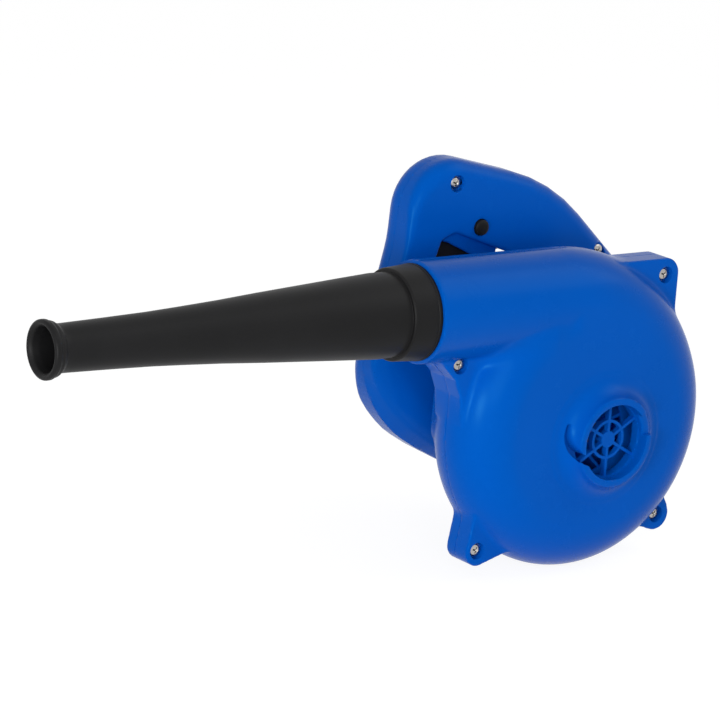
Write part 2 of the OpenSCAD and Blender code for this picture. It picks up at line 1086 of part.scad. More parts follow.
module brush_holders() {
    color([0.75, 0.6, 0.25])
        for (side = [-1, 1])
            difference() {
                translate([side * (holder_in + holder_out) / 2, brush_y, 0])
                    cube([
                        holder_out - holder_in,
                        brush_w + 2 * holder_wall,
                        brush_t + 2 * holder_wall
                    ], center = true);
                translate([side * (holder_in + holder_out) / 2, brush_y, 0])
                    cube([
                        holder_out - holder_in + 2 * over,
                        brush_w + 0.4,
                        brush_t + 0.4
                    ], center = true);
            }
}

module carbon_brushes() {
    color([0.2, 0.2, 0.2])
        difference() {
            for (side = [0, 180])
                rotate([0, side, 0])
                    translate([commutator_r - 1, brush_y - brush_w / 2, -brush_t / 2])
                        cube([brush_out - commutator_r + 1, brush_w, brush_t]);
            rod([0, 0], commutator_r + fit, commutator_y - over, commutator_y + commutator_len + over);
        }
}

module brush_springs() {
    color(steel)
        for (side = [-1, 1])
            translate([side * (brush_out + 0.2), brush_y, 0])
                rotate([0, side * 90, 0])
                    linear_extrude(
                        height = holder_out - brush_out - 0.5,
                        twist = 360 * 5,
                        slices = 80,
                        $fn = 8
                    )
                        translate([1.8, 0])
                            circle(r = 0.35, $fn = 8);
}

module brush_caps() {
    color(black)
        for (side = [-1, 1])
            translate([side * (cap_face - cap_h), brush_y, 0])
                rotate([0, side * 90, 0])
                    difference() {
                        cylinder(h = cap_h, r = cap_r);
                        translate([-5, -0.8, cap_h - 1.5])
                            cube([10, 1.6, 2]);
                    }
}

front_cover();
main_housing();
rear_housing();
nozzle();
case_screws();
handle_screws();
lock_button();
trigger();
trigger_spring();
switch_body();
cord_bush();
impeller();
impeller_nut();
impeller_washer();
impeller_spacer();
armature_shaft();
armature_core();
armature_windings();
commutator();
motor_fan();
front_bearing_outer_ring();
front_bearing_balls();
front_bearing_inner_ring();
rear_bearing_outer_ring();
rear_bearing_balls();
rear_bearing_inner_ring();
bearing_seat();
stator_core();
field_coils();
stator_screws();
air_baffle();
brush_holders();
carbon_brushes();
brush_springs();
brush_caps();
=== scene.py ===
"""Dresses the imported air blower: housings, nozzle, fasteners, materials and a studio."""

import json
import math

import bmesh
import bpy
import numpy as np
from bpy.props import (
    FloatProperty,
    FloatVectorProperty,
    IntProperty,
    PointerProperty,
)
from mathutils import Matrix, Vector


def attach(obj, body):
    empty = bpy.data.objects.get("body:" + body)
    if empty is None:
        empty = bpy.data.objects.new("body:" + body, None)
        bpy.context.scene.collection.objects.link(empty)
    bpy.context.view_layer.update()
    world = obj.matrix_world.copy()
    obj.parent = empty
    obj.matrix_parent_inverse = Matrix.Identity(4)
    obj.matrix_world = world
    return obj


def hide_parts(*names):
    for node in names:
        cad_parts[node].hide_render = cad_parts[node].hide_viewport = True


bl_info = {
    "name": "Air blower dresser",
    "version": (1, 0, 0),
    "blender": (4, 5, 0),
    "location": "View3D > Sidebar > Blower",
    "description": "Builds the visible pieces of a handheld air blower on its packed frame",
    "category": "Object",
}

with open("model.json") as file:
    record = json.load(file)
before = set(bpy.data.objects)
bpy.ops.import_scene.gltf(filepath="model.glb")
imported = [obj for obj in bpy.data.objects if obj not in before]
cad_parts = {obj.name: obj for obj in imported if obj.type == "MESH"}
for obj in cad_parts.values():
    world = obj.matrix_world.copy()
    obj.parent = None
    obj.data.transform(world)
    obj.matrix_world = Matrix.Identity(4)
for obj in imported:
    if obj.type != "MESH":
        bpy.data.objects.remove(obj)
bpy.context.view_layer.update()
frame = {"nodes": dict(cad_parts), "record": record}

MM = 0.001

# Sizes in millimetres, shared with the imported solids.
SEAM_Y = 41.0
BACK_Y = 71.0
DUCT_R = 30.0
DUCT_Z = 80.0
DUCT_BORE_R = 26.3
MOUTH_X = -125.3
DRUM = (-5.0, 6.5)
DRUM_FLAT_R = 61.0
SCROLL_X = -22.854
WALL = 2.5
LUG_Y = 29.0
LUG_BACK_Y = 49.0
CASE_SCREWS = ((-97.7, 48.7), (51.8, 90.6), (61.6, -59.5), (-74.7, -65.6))
HANDLE_SCREWS = ((-56.9, 138.7), (57.0, 89.8), (-50.0, -22.0), (66.0, 28.0))
RECESS_DEPTH = 4.0
RECESS_R = 5.0
SCREW_HOLE_R = 2.05
SCREW_POST_R = 5.8
INLET_R = 22.8
SEAT_DEPTH = 7.5
THROAT_R = 22.2
CATCH = (-15.5, 4.5)
CATCH_R = 17.0
CATCH_LAND = (-15.5, 7.0)
CATCH_LAND_R = 14.4
CATCH_DEPTH = 11.8
HANDLE_Y = 97.0
HANDLE_FAR_Y = 127.0
MID_Y = 112.0
BARREL_R = 45.0
BARREL_END_Y = 178.0
BUTTON = (-37.0, 111.2)
BUTTON_R = 4.8
BRUSH_Y = 159.0
BRUSH_HOLE_R = 7.55
CORD_HOLE = (112.0, 62.0)
CORD_HOLE_R = 7.05
BEARING_BORE_R = 13.05
SHAFT_BORE_R = 9.5
NOTCH_AT = 21.0
NOTCH_HALF = 16.0
VENT_PITCH = 10.0
VENT_FIRST = 50.0
END_SLOT_PITCH = 22.5
# Arc length of one degree on a circle of radius 1.
PER_DEGREE = 0.0175

# Corners that the handle's outline and its near face share.
HANDLE_TOP = (
    (-89.5, 103.0, 70.0),
    (-86.0, 160.5, 32.0),
    (20.0, 134.5, 120.0),
    (83.0, 75.5, 18.0),
    (80.0, 8.0, 22.0),
    (20.0, -42.0, 10.0),
)
HANDLE_OUTLINE = (
    (-106.5, 30.5, 25.0),
    *HANDLE_TOP,
    (-37.0, -39.5, 8.0),
    (-61.3, -27.0, 40.0),
    (-79.0, -16.2, 58.0),
    (-91.5, -3.3, 58.0),
    (-99.0, 7.8, 54.0),
    (-103.4, 18.0, 58.0),
)
# Edge of the near face: it leaves the outline at the lower left.
NEAR_OUTLINE = (
    (-106.4, 31.5, 14.0),
    *HANDLE_TOP,
    (-37.0, -34.0, 8.0),
    (-70.0, -11.8, 60.0),
    (-84.4, -0.2, 70.0),
    (-93.5, 9.2, 70.0),
    (-101.8, 20.7, 45.0),
)
FINGER_GAP = (
    (-84.0, 47.0, 14.0),
    (-65.0, 105.0, 4.0),
    (-55.0, 109.0, 6.0),
    (-18.0, 95.5, 14.0),
    (46.0, 74.0, 12.0),
    (54.0, 47.0, 10.0),
)
GUIDE = (
    (-62.0, 103.5),
    (-57.0, 102.2),
    (-38.5, 93.3),
    (-30.0, 90.0),
    (-20.5, 90.0),
    (-20.5, 99.5),
    (-55.0, 110.0),
)
UPPER_LUG = ((14, 100.8), (51.8, 100.8), (62, 90.6), (62, 64), (30, 60))
LOWER_LUG = ((67, -48), (69.5, -54), (56, -67.5), (50, -66), (40, -50))
LEFT_LUG = (
    (-78.5, -44),
    (-82.2, -65),
    (-77, -74.4),
    (-70, -74.2),
    (-52, -69),
    (-50, -50),
)
TONGUE = (
    (-114.0, 58.0),
    (-113.7, 54.3),
    (-106.5, 46.0),
    (-100.4, 40.0),
    (-95.8, 28.8),
    (-94.0, 14.0),
    (-60.0, 14.0),
    (-60.0, 66.0),
    (-114.0, 66.0),
)
TRIGGER = (
    (-62.6, 105.0),
    (-69.7, 86.5),
    (-68.8, 83.4),
    (-66.0, 82.6),
    (-58.0, 85.4),
    (-49.0, 86.5),
    (-37.0, 90.5),
    (-36.0, 94.5),
    (-44.0, 98.0),
    (-44.0, 105.0),
)
WHEEL_R = 58.0
BLADE_BOW = 45.1
WHEEL_HUB = (
    (4.05, 34.0),
    (9.0, 34.0),
    (10.5, 37.0),
    (13.0, 44.0),
    (19.0, 50.5),
    (30.0, 54.5),
    (WHEEL_R, 55.0),
    (WHEEL_R, 57.2),
    (10.0, 57.2),
    (10.0, 60.0),
    (4.05, 60.0),
)
WHEEL_SHROUD = (
    (26.0, 27.0),
    (WHEEL_R, 27.0),
    (WHEEL_R, 29.2),
    (26.0, 29.2),
)

# Nozzle from its spigot to its tip: radius, distance from the duct mouth, rounding.
NOZZLE = (
    (23.65, -18.0, 0.0),
    (26.0, -18.0, 0.6),
    (26.25, -16.5, 0.3),
    (26.25, -0.05, 0.0),
    (28.0, 0.0, 0.5),
    (28.0, 2.1, 0.4),
    (27.55, 2.5, 0.2),
    (27.75, 3.0, 0.2),
    (26.75, 17.6, 0.5),
    (26.1, 18.5, 0.5),
    (24.55, 18.6, 0.25),
    (24.4, 19.6, 0.5),
    (24.5, 29.0, 0.0),
    (23.1, 51.0, 0.0),
    (21.3, 78.0, 0.0),
    (19.5, 105.0, 0.0),
    (17.45, 132.0, 0.0),
    (15.9, 158.0, 0.0),
    (14.85, 178.0, 2.0),
    (14.0, 205.0, 0.0),
    (13.3, 233.0, 1.0),
    (13.5, 236.3, 1.2),
    (15.4, 238.4, 1.2),
    (15.5, 240.6, 0.8),
    (16.4, 241.6, 0.9),
    (16.4, 244.4, 1.4),
    (14.6, 245.3, 1.2),
    (12.6, 243.6, 1.2),
    (11.8, 239.0, 1.0),
    (11.8, 190.0, 3.0),
    (12.8, 172.0, 3.0),
    (22.1, 18.5, 2.0),
    (23.65, 0.0, 1.0),
)

# The fan wheel's colour over the housing's: painted light, the housing blue made lighter to
# make up for the shade inside the inlet.
WHEEL_PAINTED_LIGHT_GAIN = 1.8

# The studio, in metres and degrees.
FLOOR_Z = -0.0846
FLOOR_HALF = 6.0
FLOOR_GLOW = 1.2
FLOOR_GLOW_SHARE = 0.75
LAMPS = (
    ("key", (-0.97, -1.3, 0.52), 0.8),
    ("side", (-1.24, -0.66, 0.14), 0.3),
    ("top", (0.87, -0.51, 1.1), 0.9),
)
LAMP_AIM = (-0.05, 0.05, 0.03)
CAMERA_ANGLES = (36.6033, 14.3190, 4.0825)
CAMERA_LENS = 170.73
SENSOR = 36.0
# Duct mouth, and the camera's place from it: right, up and ahead, in millimetres.
CAMERA_FROM = (MOUTH_X, SEAM_Y, 79.8)
CAMERA_SHIFT = (30.616, 27.050, 1940.66)


# ---------------------------------------------------------------- solid fields


def blend(a, b, k):
    """Union of two fields with a fillet of about k."""
    h = np.clip(0.5 + 0.5 * (b - a) / k, 0.0, 1.0)
    return b * (1 - h) + a * h - k * h * (1 - h)


def meet(a, b, k=0.5):
    """What two fields share, with edges eased by k."""
    return -blend(-a, -b, k)


def cut(a, b, k=0.5):
    """Field a without field b, with edges eased by k."""
    return -blend(-a, b, k)


def rounded_loop(corners):
    """Points of a clockwise loop of (x, z, radius) corners."""
    points = []
    count = len(corners)
    for i in range(count):
        a, b, c = (
            np.array(corners[(i + s) % count][:2], dtype=float) for s in (-1, 0, 1)
        )
        r = corners[i][2]
        u, v = (a - b) / np.linalg.norm(a - b), (c - b) / np.linalg.norm(c - b)
        half = math.acos(float(u @ v)) / 2
        middle = b + (u + v) / np.linalg.norm(u + v) * r / math.sin(half)
        start = b + u * r / math.tan(half) - middle
        turn = np.sign(u[0] * v[1] - u[1] * v[0]) * -(math.pi - 2 * half)
        steps = max(2, int(abs(math.degrees(turn)) / 9) + 1)
        for s in range(steps + 1):
            t = turn * s / steps
            points.append(
                middle
                + np.array(
                    (
                        start[0] * math.cos(t) - start[1] * math.sin(t),
                        start[0] * math.sin(t) + start[1] * math.cos(t),
                    )
                )
            )
    return np.array(points)


def outline(x, z, points):
    """Signed distance to a closed outline, negative inside."""
    points = np.asarray(points, dtype=float)
    best = np.full(np.broadcast(x, z).shape, 1e9)
    inside = np.zeros(best.shape, dtype=bool)
    for a, b in zip(points, np.roll(points, -1, axis=0)):
        ex, ez = b - a
        wx, wz = x - a[0], z - a[1]
        t = np.clip((wx * ex + wz * ez) / (ex * ex + ez * ez + 1e-12), 0, 1)
        best = np.minimum(best, (wx - ex * t) ** 2 + (wz - ez * t) ** 2)
        crosses = ((a[1] > z) != (b[1] > z)) & (
            x < ex * (z - a[1]) / (ez if abs(ez) > 1e-9 else 1e-9) + a[0]
        )
        inside ^= crosses
    return np.where(inside, -1.0, 1.0) * np.sqrt(best)


def ring(x, z, at, r):
    return np.hypot(x - at[0], z - at[1]) - r


def plate(flat, low, high, r_low, r_high=None):
    """Flat field made into a slab between two depths, with round edges."""
    r_high = r_low if r_high is None else r_high

    def edge(depth, r):
        a, b = flat + r, depth + r
        return np.minimum(np.maximum(a, b), 0) + np.hypot(
            np.maximum(a, 0), np.maximum(b, 0)
        ) - r

    return np.maximum(edge(low, r_low), edge(high, r_high))


def box(x, y, z, low, high, r):
    centre = [(a + b) / 2 for a, b in zip(low, high)]
    half = [(b - a) / 2 - r for a, b in zip(low, high)]
    q = [abs(v - c) - h for v, c, h in zip((x, y, z), centre, half)]
    outside = np.sqrt(sum(np.maximum(v, 0) ** 2 for v in q))
    return outside + np.minimum(np.maximum(np.maximum(q[0], q[1]), q[2]), 0) - r


def fan_core(x, z):
    """Distance in the seam plane from the flat core of drum and scroll."""
    drum = np.maximum(np.hypot(x - DRUM[0], z - DRUM[1]) - DRUM_FLAT_R, 0)
    dx = x - SCROLL_X
    start = math.atan2(DRUM[1], DRUM[0] - SCROLL_X)
    angle = np.arctan2(z, dx)
    rho = np.hypot(dx, z)
    within = (angle >= start) & (angle <= math.pi / 2)
    edge = np.hypot(dx, z - np.clip(z, 0, DUCT_Z))
    scroll = np.where(within, np.maximum(rho - DUCT_Z, 0), edge)
    return np.minimum(drum, scroll)


def case_form(x, y, z, r, duct_r, soft):
    """Outside of the fan case, or its air space with a smaller r."""
    core = np.hypot(fan_core(x, z), y - SEAM_Y) - r
    past = np.maximum(x - SCROLL_X, 0)
    duct = np.sqrt(past**2 + (z - DUCT_Z) ** 2 + (y - SEAM_Y) ** 2) - duct_r
    k = 0.05 + soft * np.clip((77 - z) / 14, 0, 1) * np.clip((-26 - x) / 16, 0, 1)
    return blend(core, duct, k)


def lug_plates(x, z):
    upper = np.minimum(
        ring(x, z, CASE_SCREWS[1], 10.2),
        outline(x, z, UPPER_LUG),
    )
    lower = blend(
        ring(x, z, CASE_SCREWS[2], 9.8),
        outline(x, z, LOWER_LUG),
        2.0,
    )
    left = np.minimum(
        ring(x, z, (-73.8, -66.6), 8.4),
        outline(x, z, LEFT_LUG),
    )
    return np.minimum(np.minimum(upper, lower), left)


def screw_holes(x, y, z, at, face):
    """Hole for a screw's shank with the recess that its head sits in."""
    hole = np.hypot(x - at[0], z - at[1])
    recess = np.maximum(hole - RECESS_R, y - (face + RECESS_DEPTH))
    return np.minimum(recess, hole - SCREW_HOLE_R)


def cord_hole(x, y, z):
    """Hole in the handle's end for the rubber bush."""
    return np.maximum(ring(y, z, CORD_HOLE, CORD_HOLE_R), 70 - x)


def with_posts(hollow, x, z):
    """Hollow of the handle with its screw posts left standing."""
    for at in HANDLE_SCREWS:
        hollow = np.maximum(hollow, -ring(x, z, at, SCREW_POST_R))
    return hollow


def turned_slots(angle, q, first, pitch, half):
    """Distance to the nearest of the slots that stand at an even pitch in degrees."""
    off = (angle - first + pitch / 2) % pitch - pitch / 2
    return abs(off) * q * PER_DEGREE - half


def hose_catch(x, y, z):
    """Crescent beside the inlet, with a sloping land between it and the bore."""
    outer = ring(x, z, CATCH, CATCH_R)
    land = ring(x, z, CATCH_LAND, CATCH_LAND_R)
    return np.maximum(np.maximum(outer, -land), np.maximum(y - CATCH_DEPTH, z - 12))


def case_body(x, y, z, front, web_back, lug_back):
    """Outside of the fan case with its tongue and lugs between two depths."""
    body = case_form(x, y, z, DUCT_R, DUCT_R, 9.0)
    web = plate(outline(x, z, TONGUE), front - y, y - web_back, 1.2)
    lugs = plate(lug_plates(x, z), front - y, y - lug_back, 1.0)
    return blend(blend(body, web, 3.0), lugs, 2.5)


def case_air(x, y, z):
    """Air space of the fan and its duct."""
    return case_form(x, y, z, DUCT_R - WALL, DUCT_BORE_R, 3.0)


def front_cover_field(x, y, z):
    q = np.hypot(x, z)
    body = case_body(x, y, z, LUG_Y, 60, 60)
    # broad shallow dish round the inlet, then the rim that stands in front of the face
    flare = np.maximum(12.5 - np.hypot(q - 39.5, y + 1.5), q - 39.5)
    rim = np.maximum(meet(flare, -y, 1.2), y - 14)
    body = blend(body, rim, 1.0)
    body = cut(body, case_air(x, y, z), 0.3)
    body = cut(body, np.maximum(q - INLET_R, y - SEAT_DEPTH), 0.6)
    body = cut(body, q - THROAT_R, 0.2)
    body = cut(body, hose_catch(x, y, z), 0.5)
    angle = np.degrees(np.arctan2(z, x)) % 360
    off = (angle - NOTCH_AT + 180) % 360 - 180
    notch = np.maximum((abs(off) - NOTCH_HALF) * q * PER_DEGREE, np.maximum(y - 4, q - 31))
    body = cut(body, notch, 1.2)
    for at in CASE_SCREWS:
        body = cut(body, screw_holes(x, y, z, at, LUG_Y), 0.4)
    body = cut(body, x - MOUTH_X, 1.0)
    return meet(body, y - SEAM_Y, 0.2)


HANDLE_LOOP = rounded_loop(HANDLE_OUTLINE)
NEAR_LOOP = rounded_loop(NEAR_OUTLINE)
GAP_LOOP = rounded_loop(FINGER_GAP)


def handle_flats(x, z):
    """Distances to the outline, to the near face's edge and into the finger gap."""
    return outline(x, z, HANDLE_LOOP), outline(x, z, NEAR_LOOP), -outline(x, z, GAP_LOOP)


def trigger_slot(x, y, z):
    return box(x, y, z, (-70.3, MID_Y - 8.5, 89), (-34.5, MID_Y + 8.5, 113), 0.6)


def main_housing_field(x, y, z):
    q = np.hypot(x, z)
    body = case_body(x, y, z, SEAM_Y - 5, 55, LUG_BACK_Y)
    shoulder = box(x, y, z, (-85.5, SEAM_Y, -6), (-50, BACK_Y, 38), 6.0)
    body = blend(body, shoulder, 8.0)
    barrel = np.maximum(q - BARREL_R, BACK_Y - 6 - y)
    body = blend(body, barrel, 5.0)
    body = cut(body, case_air(x, y, z), 0.3)
    body = cut(body, np.maximum(q - (BARREL_R - WALL), BACK_Y + 1 - y), 0.3)
    whole, near, gap = handle_flats(x, z)
    # the lower left edge slopes from the near face's edge out to the outline
    t = np.clip((y - HANDLE_Y - 5) / 10, 0, 1)
    side = near * (1 - t) + whole * t
    slant = np.clip((x + 95) / 40 + (z - 110) / 60, 0, 1)
    drop = (1.2 + 4.3 * np.clip((90 - z) / 50, 0, 1)) * (1 - slant)
    face = HANDLE_Y + drop * np.clip(1 + near / 17, 0, 1) ** 2
    round_r = 2.2 + 7.6 * slant
    grip = plate(side, face - y, y - MID_Y - 5, round_r, 0.6)
    grip = cut(grip, plate(-gap, HANDLE_Y - 5 - y, y - MID_Y - 9, 0.6), 2.0)
    t = np.clip(t - 0.35, 0, 1)
    shell = np.maximum(near * (1 - t) + whole * t, gap) + WALL
    inner_r = np.maximum(round_r - WALL, 0.2)
    hollow = plate(shell, face + WALL - y, y - BARREL_END_Y, inner_r)
    hollow = np.maximum(hollow, BARREL_R - q)
    grip = cut(grip, with_posts(hollow, x, z), 0.3)
    guide = plate(outline(x, z, GUIDE), MID_Y - 10.5 - y, y - MID_Y - 5, 1.0)
    grip = blend(grip, guide, 1.5)
    grip = np.maximum(grip, -(q - (BARREL_R - WALL)))
    body = blend(body, grip, 2.5)
    boss = np.maximum(q - 16, abs(y - 70) - 6)
    body = blend(body, boss, 1.0)
    body = cut(body, np.maximum(q - BEARING_BORE_R, 66 - y), 0.2)
    body = cut(body, q - SHAFT_BORE_R, 0.2)
    for at in CASE_SCREWS:
        hole = ring(x, z, at, SCREW_HOLE_R)
        body = cut(body, np.maximum(hole, y - 48), 0.2)
    for at in HANDLE_SCREWS:
        holes = np.maximum(screw_holes(x, y, z, at, HANDLE_Y), 95 - y)
        body = cut(body, holes, 0.4)
    button = np.maximum(ring(x, z, BUTTON, BUTTON_R + 0.3), abs(y - HANDLE_Y) - 2.8)
    body = cut(body, button, 0.5)
    body = cut(body, trigger_slot(x, y, z), 0.2)
    body = cut(body, cord_hole(x, y, z), 0.3)
    down = np.degrees(np.arctan2(-z, x))
    vents = turned_slots(down, q, VENT_FIRST, VENT_PITCH, 1.5)
    slots = np.maximum(
        np.maximum(vents, abs(y - 83.5) - 6.5),
        np.maximum(abs(down - 90) - 43, 40 - q),
    )
    body = cut(body, slots, 0.3)
    body = cut(body, x - MOUTH_X, 1.0)
    return meet(meet(body, SEAM_Y - y, 0.2), y - MID_Y, 0.2)


def rear_housing_field(x, y, z):
    q = np.hypot(x, z)
    barrel = plate(q - BARREL_R, MID_Y - 5 - y, y - BARREL_END_Y, 1.0, 5.0)
    whole, _, gap = handle_flats(x, z)
    round_r = 3 + 8 * np.clip((z - 5) / 25, 0, 1)
    grip = plate(whole, MID_Y - 5 - y, y - HANDLE_FAR_Y, 0.6, round_r)
    grip = cut(grip, plate(-gap, MID_Y - 9 - y, y - HANDLE_FAR_Y - 5, 0.6), 5.0)
    guide = outline(x, z, GUIDE)
    grip = blend(grip, plate(guide, MID_Y - 5 - y, y - MID_Y - 10.5, 1.0), 1.5)
    body = blend(barrel, grip, 3.0)
    for side in (-1, 1):
        boss = np.maximum(np.hypot(y - BRUSH_Y, z) - 10, abs(side * x - 41) - 5.5)
        body = blend(body, boss, 1.5)
    shell = np.maximum(whole, gap) + WALL
    hollow = np.maximum(np.maximum(shell, y - (HANDLE_FAR_Y - WALL)), BARREL_R - q)
    rise = np.clip((y - HANDLE_FAR_Y) / round_r + 1, 0, 1)
    hollow = np.maximum(hollow, shell + round_r * rise**2)
    hollow = np.maximum(hollow, 1.0 - guide)
    body = cut(body, with_posts(hollow, x, z), 0.3)
    inside = np.maximum(q - (BARREL_R - WALL), y - (BARREL_END_Y - WALL))
    seat = np.maximum(abs(q - 14.5) - 1.25, 166.5 - y)
    body = cut(body, np.maximum(inside, -seat), 0.3)
    for at in HANDLE_SCREWS:
        hole = ring(x, z, at, SCREW_HOLE_R)
        body = cut(body, np.maximum(hole, y - 123.5), 0.2)
    for side in (-1, 1):
        hole = np.maximum(np.hypot(y - BRUSH_Y, z) - BRUSH_HOLE_R, 35 - side * x)
        body = cut(body, hole, 0.4)
    body = cut(body, trigger_slot(x, y, z), 0.2)
    body = cut(body, cord_hole(x, y, z), 0.3)
    angle = np.degrees(np.arctan2(z, x))
    spokes = turned_slots(angle, q, 0.0, END_SLOT_PITCH, 1.4)
    slots = np.maximum(np.maximum(spokes, abs(q - 28.7) - 9.5), 170 - y)
    body = cut(body, slots, 0.4)
    return meet(body, MID_Y - y, 0.2)


def trigger_field(x, y, z):
    body = plate(outline(x, z, TRIGGER), MID_Y - 7.8 - y, y - MID_Y - 7.8, 1.6)
    stem = box(x, y, z, (-60, MID_Y - 6, 102), (-46, MID_Y + 6, 110), 0.6)
    return blend(body, stem, 0.8)


def blade_row(r):
    """Four corners of the curved blade's section at a distance from the axis."""
    turn = math.asin(min(r / (2 * BLADE_BOW), 1.0))
    front = 28.0 + 7.0 * min(max((27.0 - r) / 17.0, 0.0), 1.0)
    corners = []
    for bow, y in ((-0.9, front), (0.9, front), (0.9, 55.5), (-0.9, 55.5)):
        reach = BLADE_BOW + bow
        x = reach * math.sin(2 * turn)
        z = BLADE_BOW - reach * math.cos(2 * turn)
        corners.append((x, y, z))
    return corners


# ---------------------------------------------------------------- meshing


def slope(field, p, h=0.05):
    out = np.empty_like(p)
    for axis in range(3):
        step = np.zeros(3)
        step[axis] = h
        a, b = p + step, p - step
        out[:, axis] = field(a[:, 0], a[:, 1], a[:, 2]) - field(b[:, 0], b[:, 1], b[:, 2])
    return out / (2 * h)


def contour(field, low, high, step):
    """Closed mesh of where the field is zero, with its edges kept sharp."""
    low = np.array(low, dtype=float)
    counts = np.ceil((np.array(high) - low) / step).astype(int) + 1
    axes = [low[i] + step * np.arange(counts[i]) for i in range(3)]
    values = np.empty(counts)
    for j, y in enumerate(axes[1]):
        values[:, j, :] = field(axes[0][:, None], np.float64(y), axes[2][None, :])
    inside = values < 0
    cells = counts - 1
    points, owners, flips = [], [], []
    for axis in range(3):
        first = [slice(None)] * 3
        second = [slice(None)] * 3
        first[axis], second[axis] = slice(None, -1), slice(1, None)
        crosses = inside[tuple(first)] != inside[tuple(second)]
        others = [i for i in range(3) if i != axis]
        where = np.argwhere(crosses)
        keep = np.all(
            (where[:, others] > 0) & (where[:, others] < cells[others]), axis=1
        )
        where = where[keep]
        a = values[tuple(where.T)]
        ahead = where.copy()
        ahead[:, axis] += 1
        b = values[tuple(ahead.T)]
        t = a / (a - b)
        place = low + step * where
        place[:, axis] += step * t
        points.append(place)
        corner = []
        for du, dv in ((0, 0), (-1, 0), (-1, -1), (0, -1)):
            cell = where.copy()
            cell[:, others[0]] += du
            cell[:, others[1]] += dv
            corner.append((cell[:, 0] * cells[1] + cell[:, 1]) * cells[2] + cell[:, 2])
        corner = np.stack(corner, axis=1)
        owners.append(corner)
        flips.append((a > 0) ^ (axis == 1))
    points = np.concatenate(points)
    owners = np.concatenate(owners)
    flips = np.concatenate(flips)
    normals = slope(field, points)
    normals /= np.linalg.norm(normals, axis=1, keepdims=True) + 1e-9
    ids, inverse = np.unique(owners.ravel(), return_inverse=True)
    inverse = inverse.reshape(owners.shape)
    count = len(ids)
    flat = inverse.ravel()
    p = np.repeat(points, 4, axis=0)
    n = np.repeat(normals, 4, axis=0)
    weight = np.bincount(flat, minlength=count)
    sums = [np.bincount(flat, p[:, i], count) for i in range(3)]
    mean = np.stack(sums, 1) / weight[:, None]
    lean = np.einsum("ij,ij->i", n, p - mean[flat])
    matrix = np.zeros((count, 3, 3))
    right = np.zeros((count, 3))
    for i in range(3):
        right[:, i] = np.bincount(flat, n[:, i] * lean, count)
        for j in range(3):
            matrix[:, i, j] = np.bincount(flat, n[:, i] * n[:, j], count)
    matrix += np.eye(3) * 0.06
    shift = np.linalg.solve(matrix, right[:, :, None])[:, :, 0]
    length = np.linalg.norm(shift, axis=1, keepdims=True)
    shift *= np.minimum(1, 0.9 * step / (length + 1e-9))
    verts = mean + shift
    for _ in range(2):
        g = slope(field, verts)
        f = field(verts[:, 0], verts[:, 1], verts[:, 2])
        size = (g * g).sum(1)
        move = -f / np.maximum(size, 0.2)
        verts += g * np.clip(move, -0.3 * step, 0.3 * step)[:, None]
    faces = np.where(flips[:, None], inverse[:, ::-1], inverse)
    return verts, faces


def show(name, mesh, crease=32):
    """Object of a mesh, shaded smooth up to the crease angle."""
    mesh.polygons.foreach_set("use_smooth", [True] * len(mesh.polygons))
    mesh.set_sharp_from_angle(angle=math.radians(crease))
    piece = bpy.data.objects.new(name, mesh)
    bpy.context.scene.collection.objects.link(piece)
    return piece


def mesh_piece(name, verts, faces, material):
    mesh = bpy.data.meshes.new(name)
    mesh.from_pydata((verts * MM).tolist(), [], faces.tolist())
    mesh.validate()
    mesh.materials.append(material)
    return show(name, mesh)


def lathe(name, profile, place, material, segments=128, crease=32):
    """Turned piece from (radius, height) points; place maps local Z to its axis."""
    bm = bmesh.new()
    rows = []
    for r, h in profile:
        row = []
        if r < 1e-6:
            row = [bm.verts.new((0, 0, h))] * segments
        else:
            for s in range(segments):
                a = 2 * math.pi * s / segments
                row.append(bm.verts.new((r * math.cos(a), r * math.sin(a), h)))
        rows.append(row)
    for low, high in zip(rows, rows[1:] + rows[:1]):
        for s in range(segments):
            t = (s + 1) % segments
            corners = []
            for v in (low[s], low[t], high[t], high[s]):
                if v not in corners:
                    corners.append(v)
            if len(corners) > 2:
                bm.faces.new(corners)
    bmesh.ops.recalc_face_normals(bm, faces=bm.faces)
    bmesh.ops.transform(bm, matrix=place, verts=bm.verts)
    bmesh.ops.scale(bm, vec=(MM, MM, MM), verts=bm.verts)
    return from_bmesh(name, bm, material, crease)


def from_bmesh(name, bm, material, crease=32):
    mesh = bpy.data.meshes.new(name)
    bm.to_mesh(mesh)
    bm.free()
    mesh.materials.append(material)
    return show(name, mesh, crease)


def eased(points, r, steps=5):
    """Closed profile with its corners rounded by r, or by a third value of a corner."""
    out = []
    count = len(points)
    for i in range(count):
        a, b, c = (np.array(points[(i + s) % count][:2], dtype=float) for s in (-1, 0, 1))
        want = points[i][2] if len(points[i]) > 2 else r
        la, lc = np.linalg.norm(a - b), np.linalg.norm(c - b)
        if want <= 0 or la < 1e-6 or lc < 1e-6:
            out.append(tuple(b))
            continue
        reach = min(want, la * 0.45, lc * 0.45)
        p, q = b + (a - b) / la * reach, b + (c - b) / lc * reach
        for s in range(steps + 1):
            t = s / steps
            out.append(tuple((1 - t) ** 2 * p + 2 * t * (1 - t) * b + t * t * q))
    return out


def settle(piece, slot_name, *nodes):
    """Puts a finished piece on the housing or its own body, in place of its solids."""
    body = NODE_BODY[nodes[0]] if nodes else "housing"
    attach(piece, body)
    if nodes:
        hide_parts(*nodes)


RECORD = frame["record"]
NODE_BODY = {n: b for b, ns in RECORD["behaviour"]["bodies"].items() for n in ns}
NODE_SLOT = {s["node"]: s["material_slot"] for s in RECORD["subparts"]}


# ---------------------------------------------------------------- materials


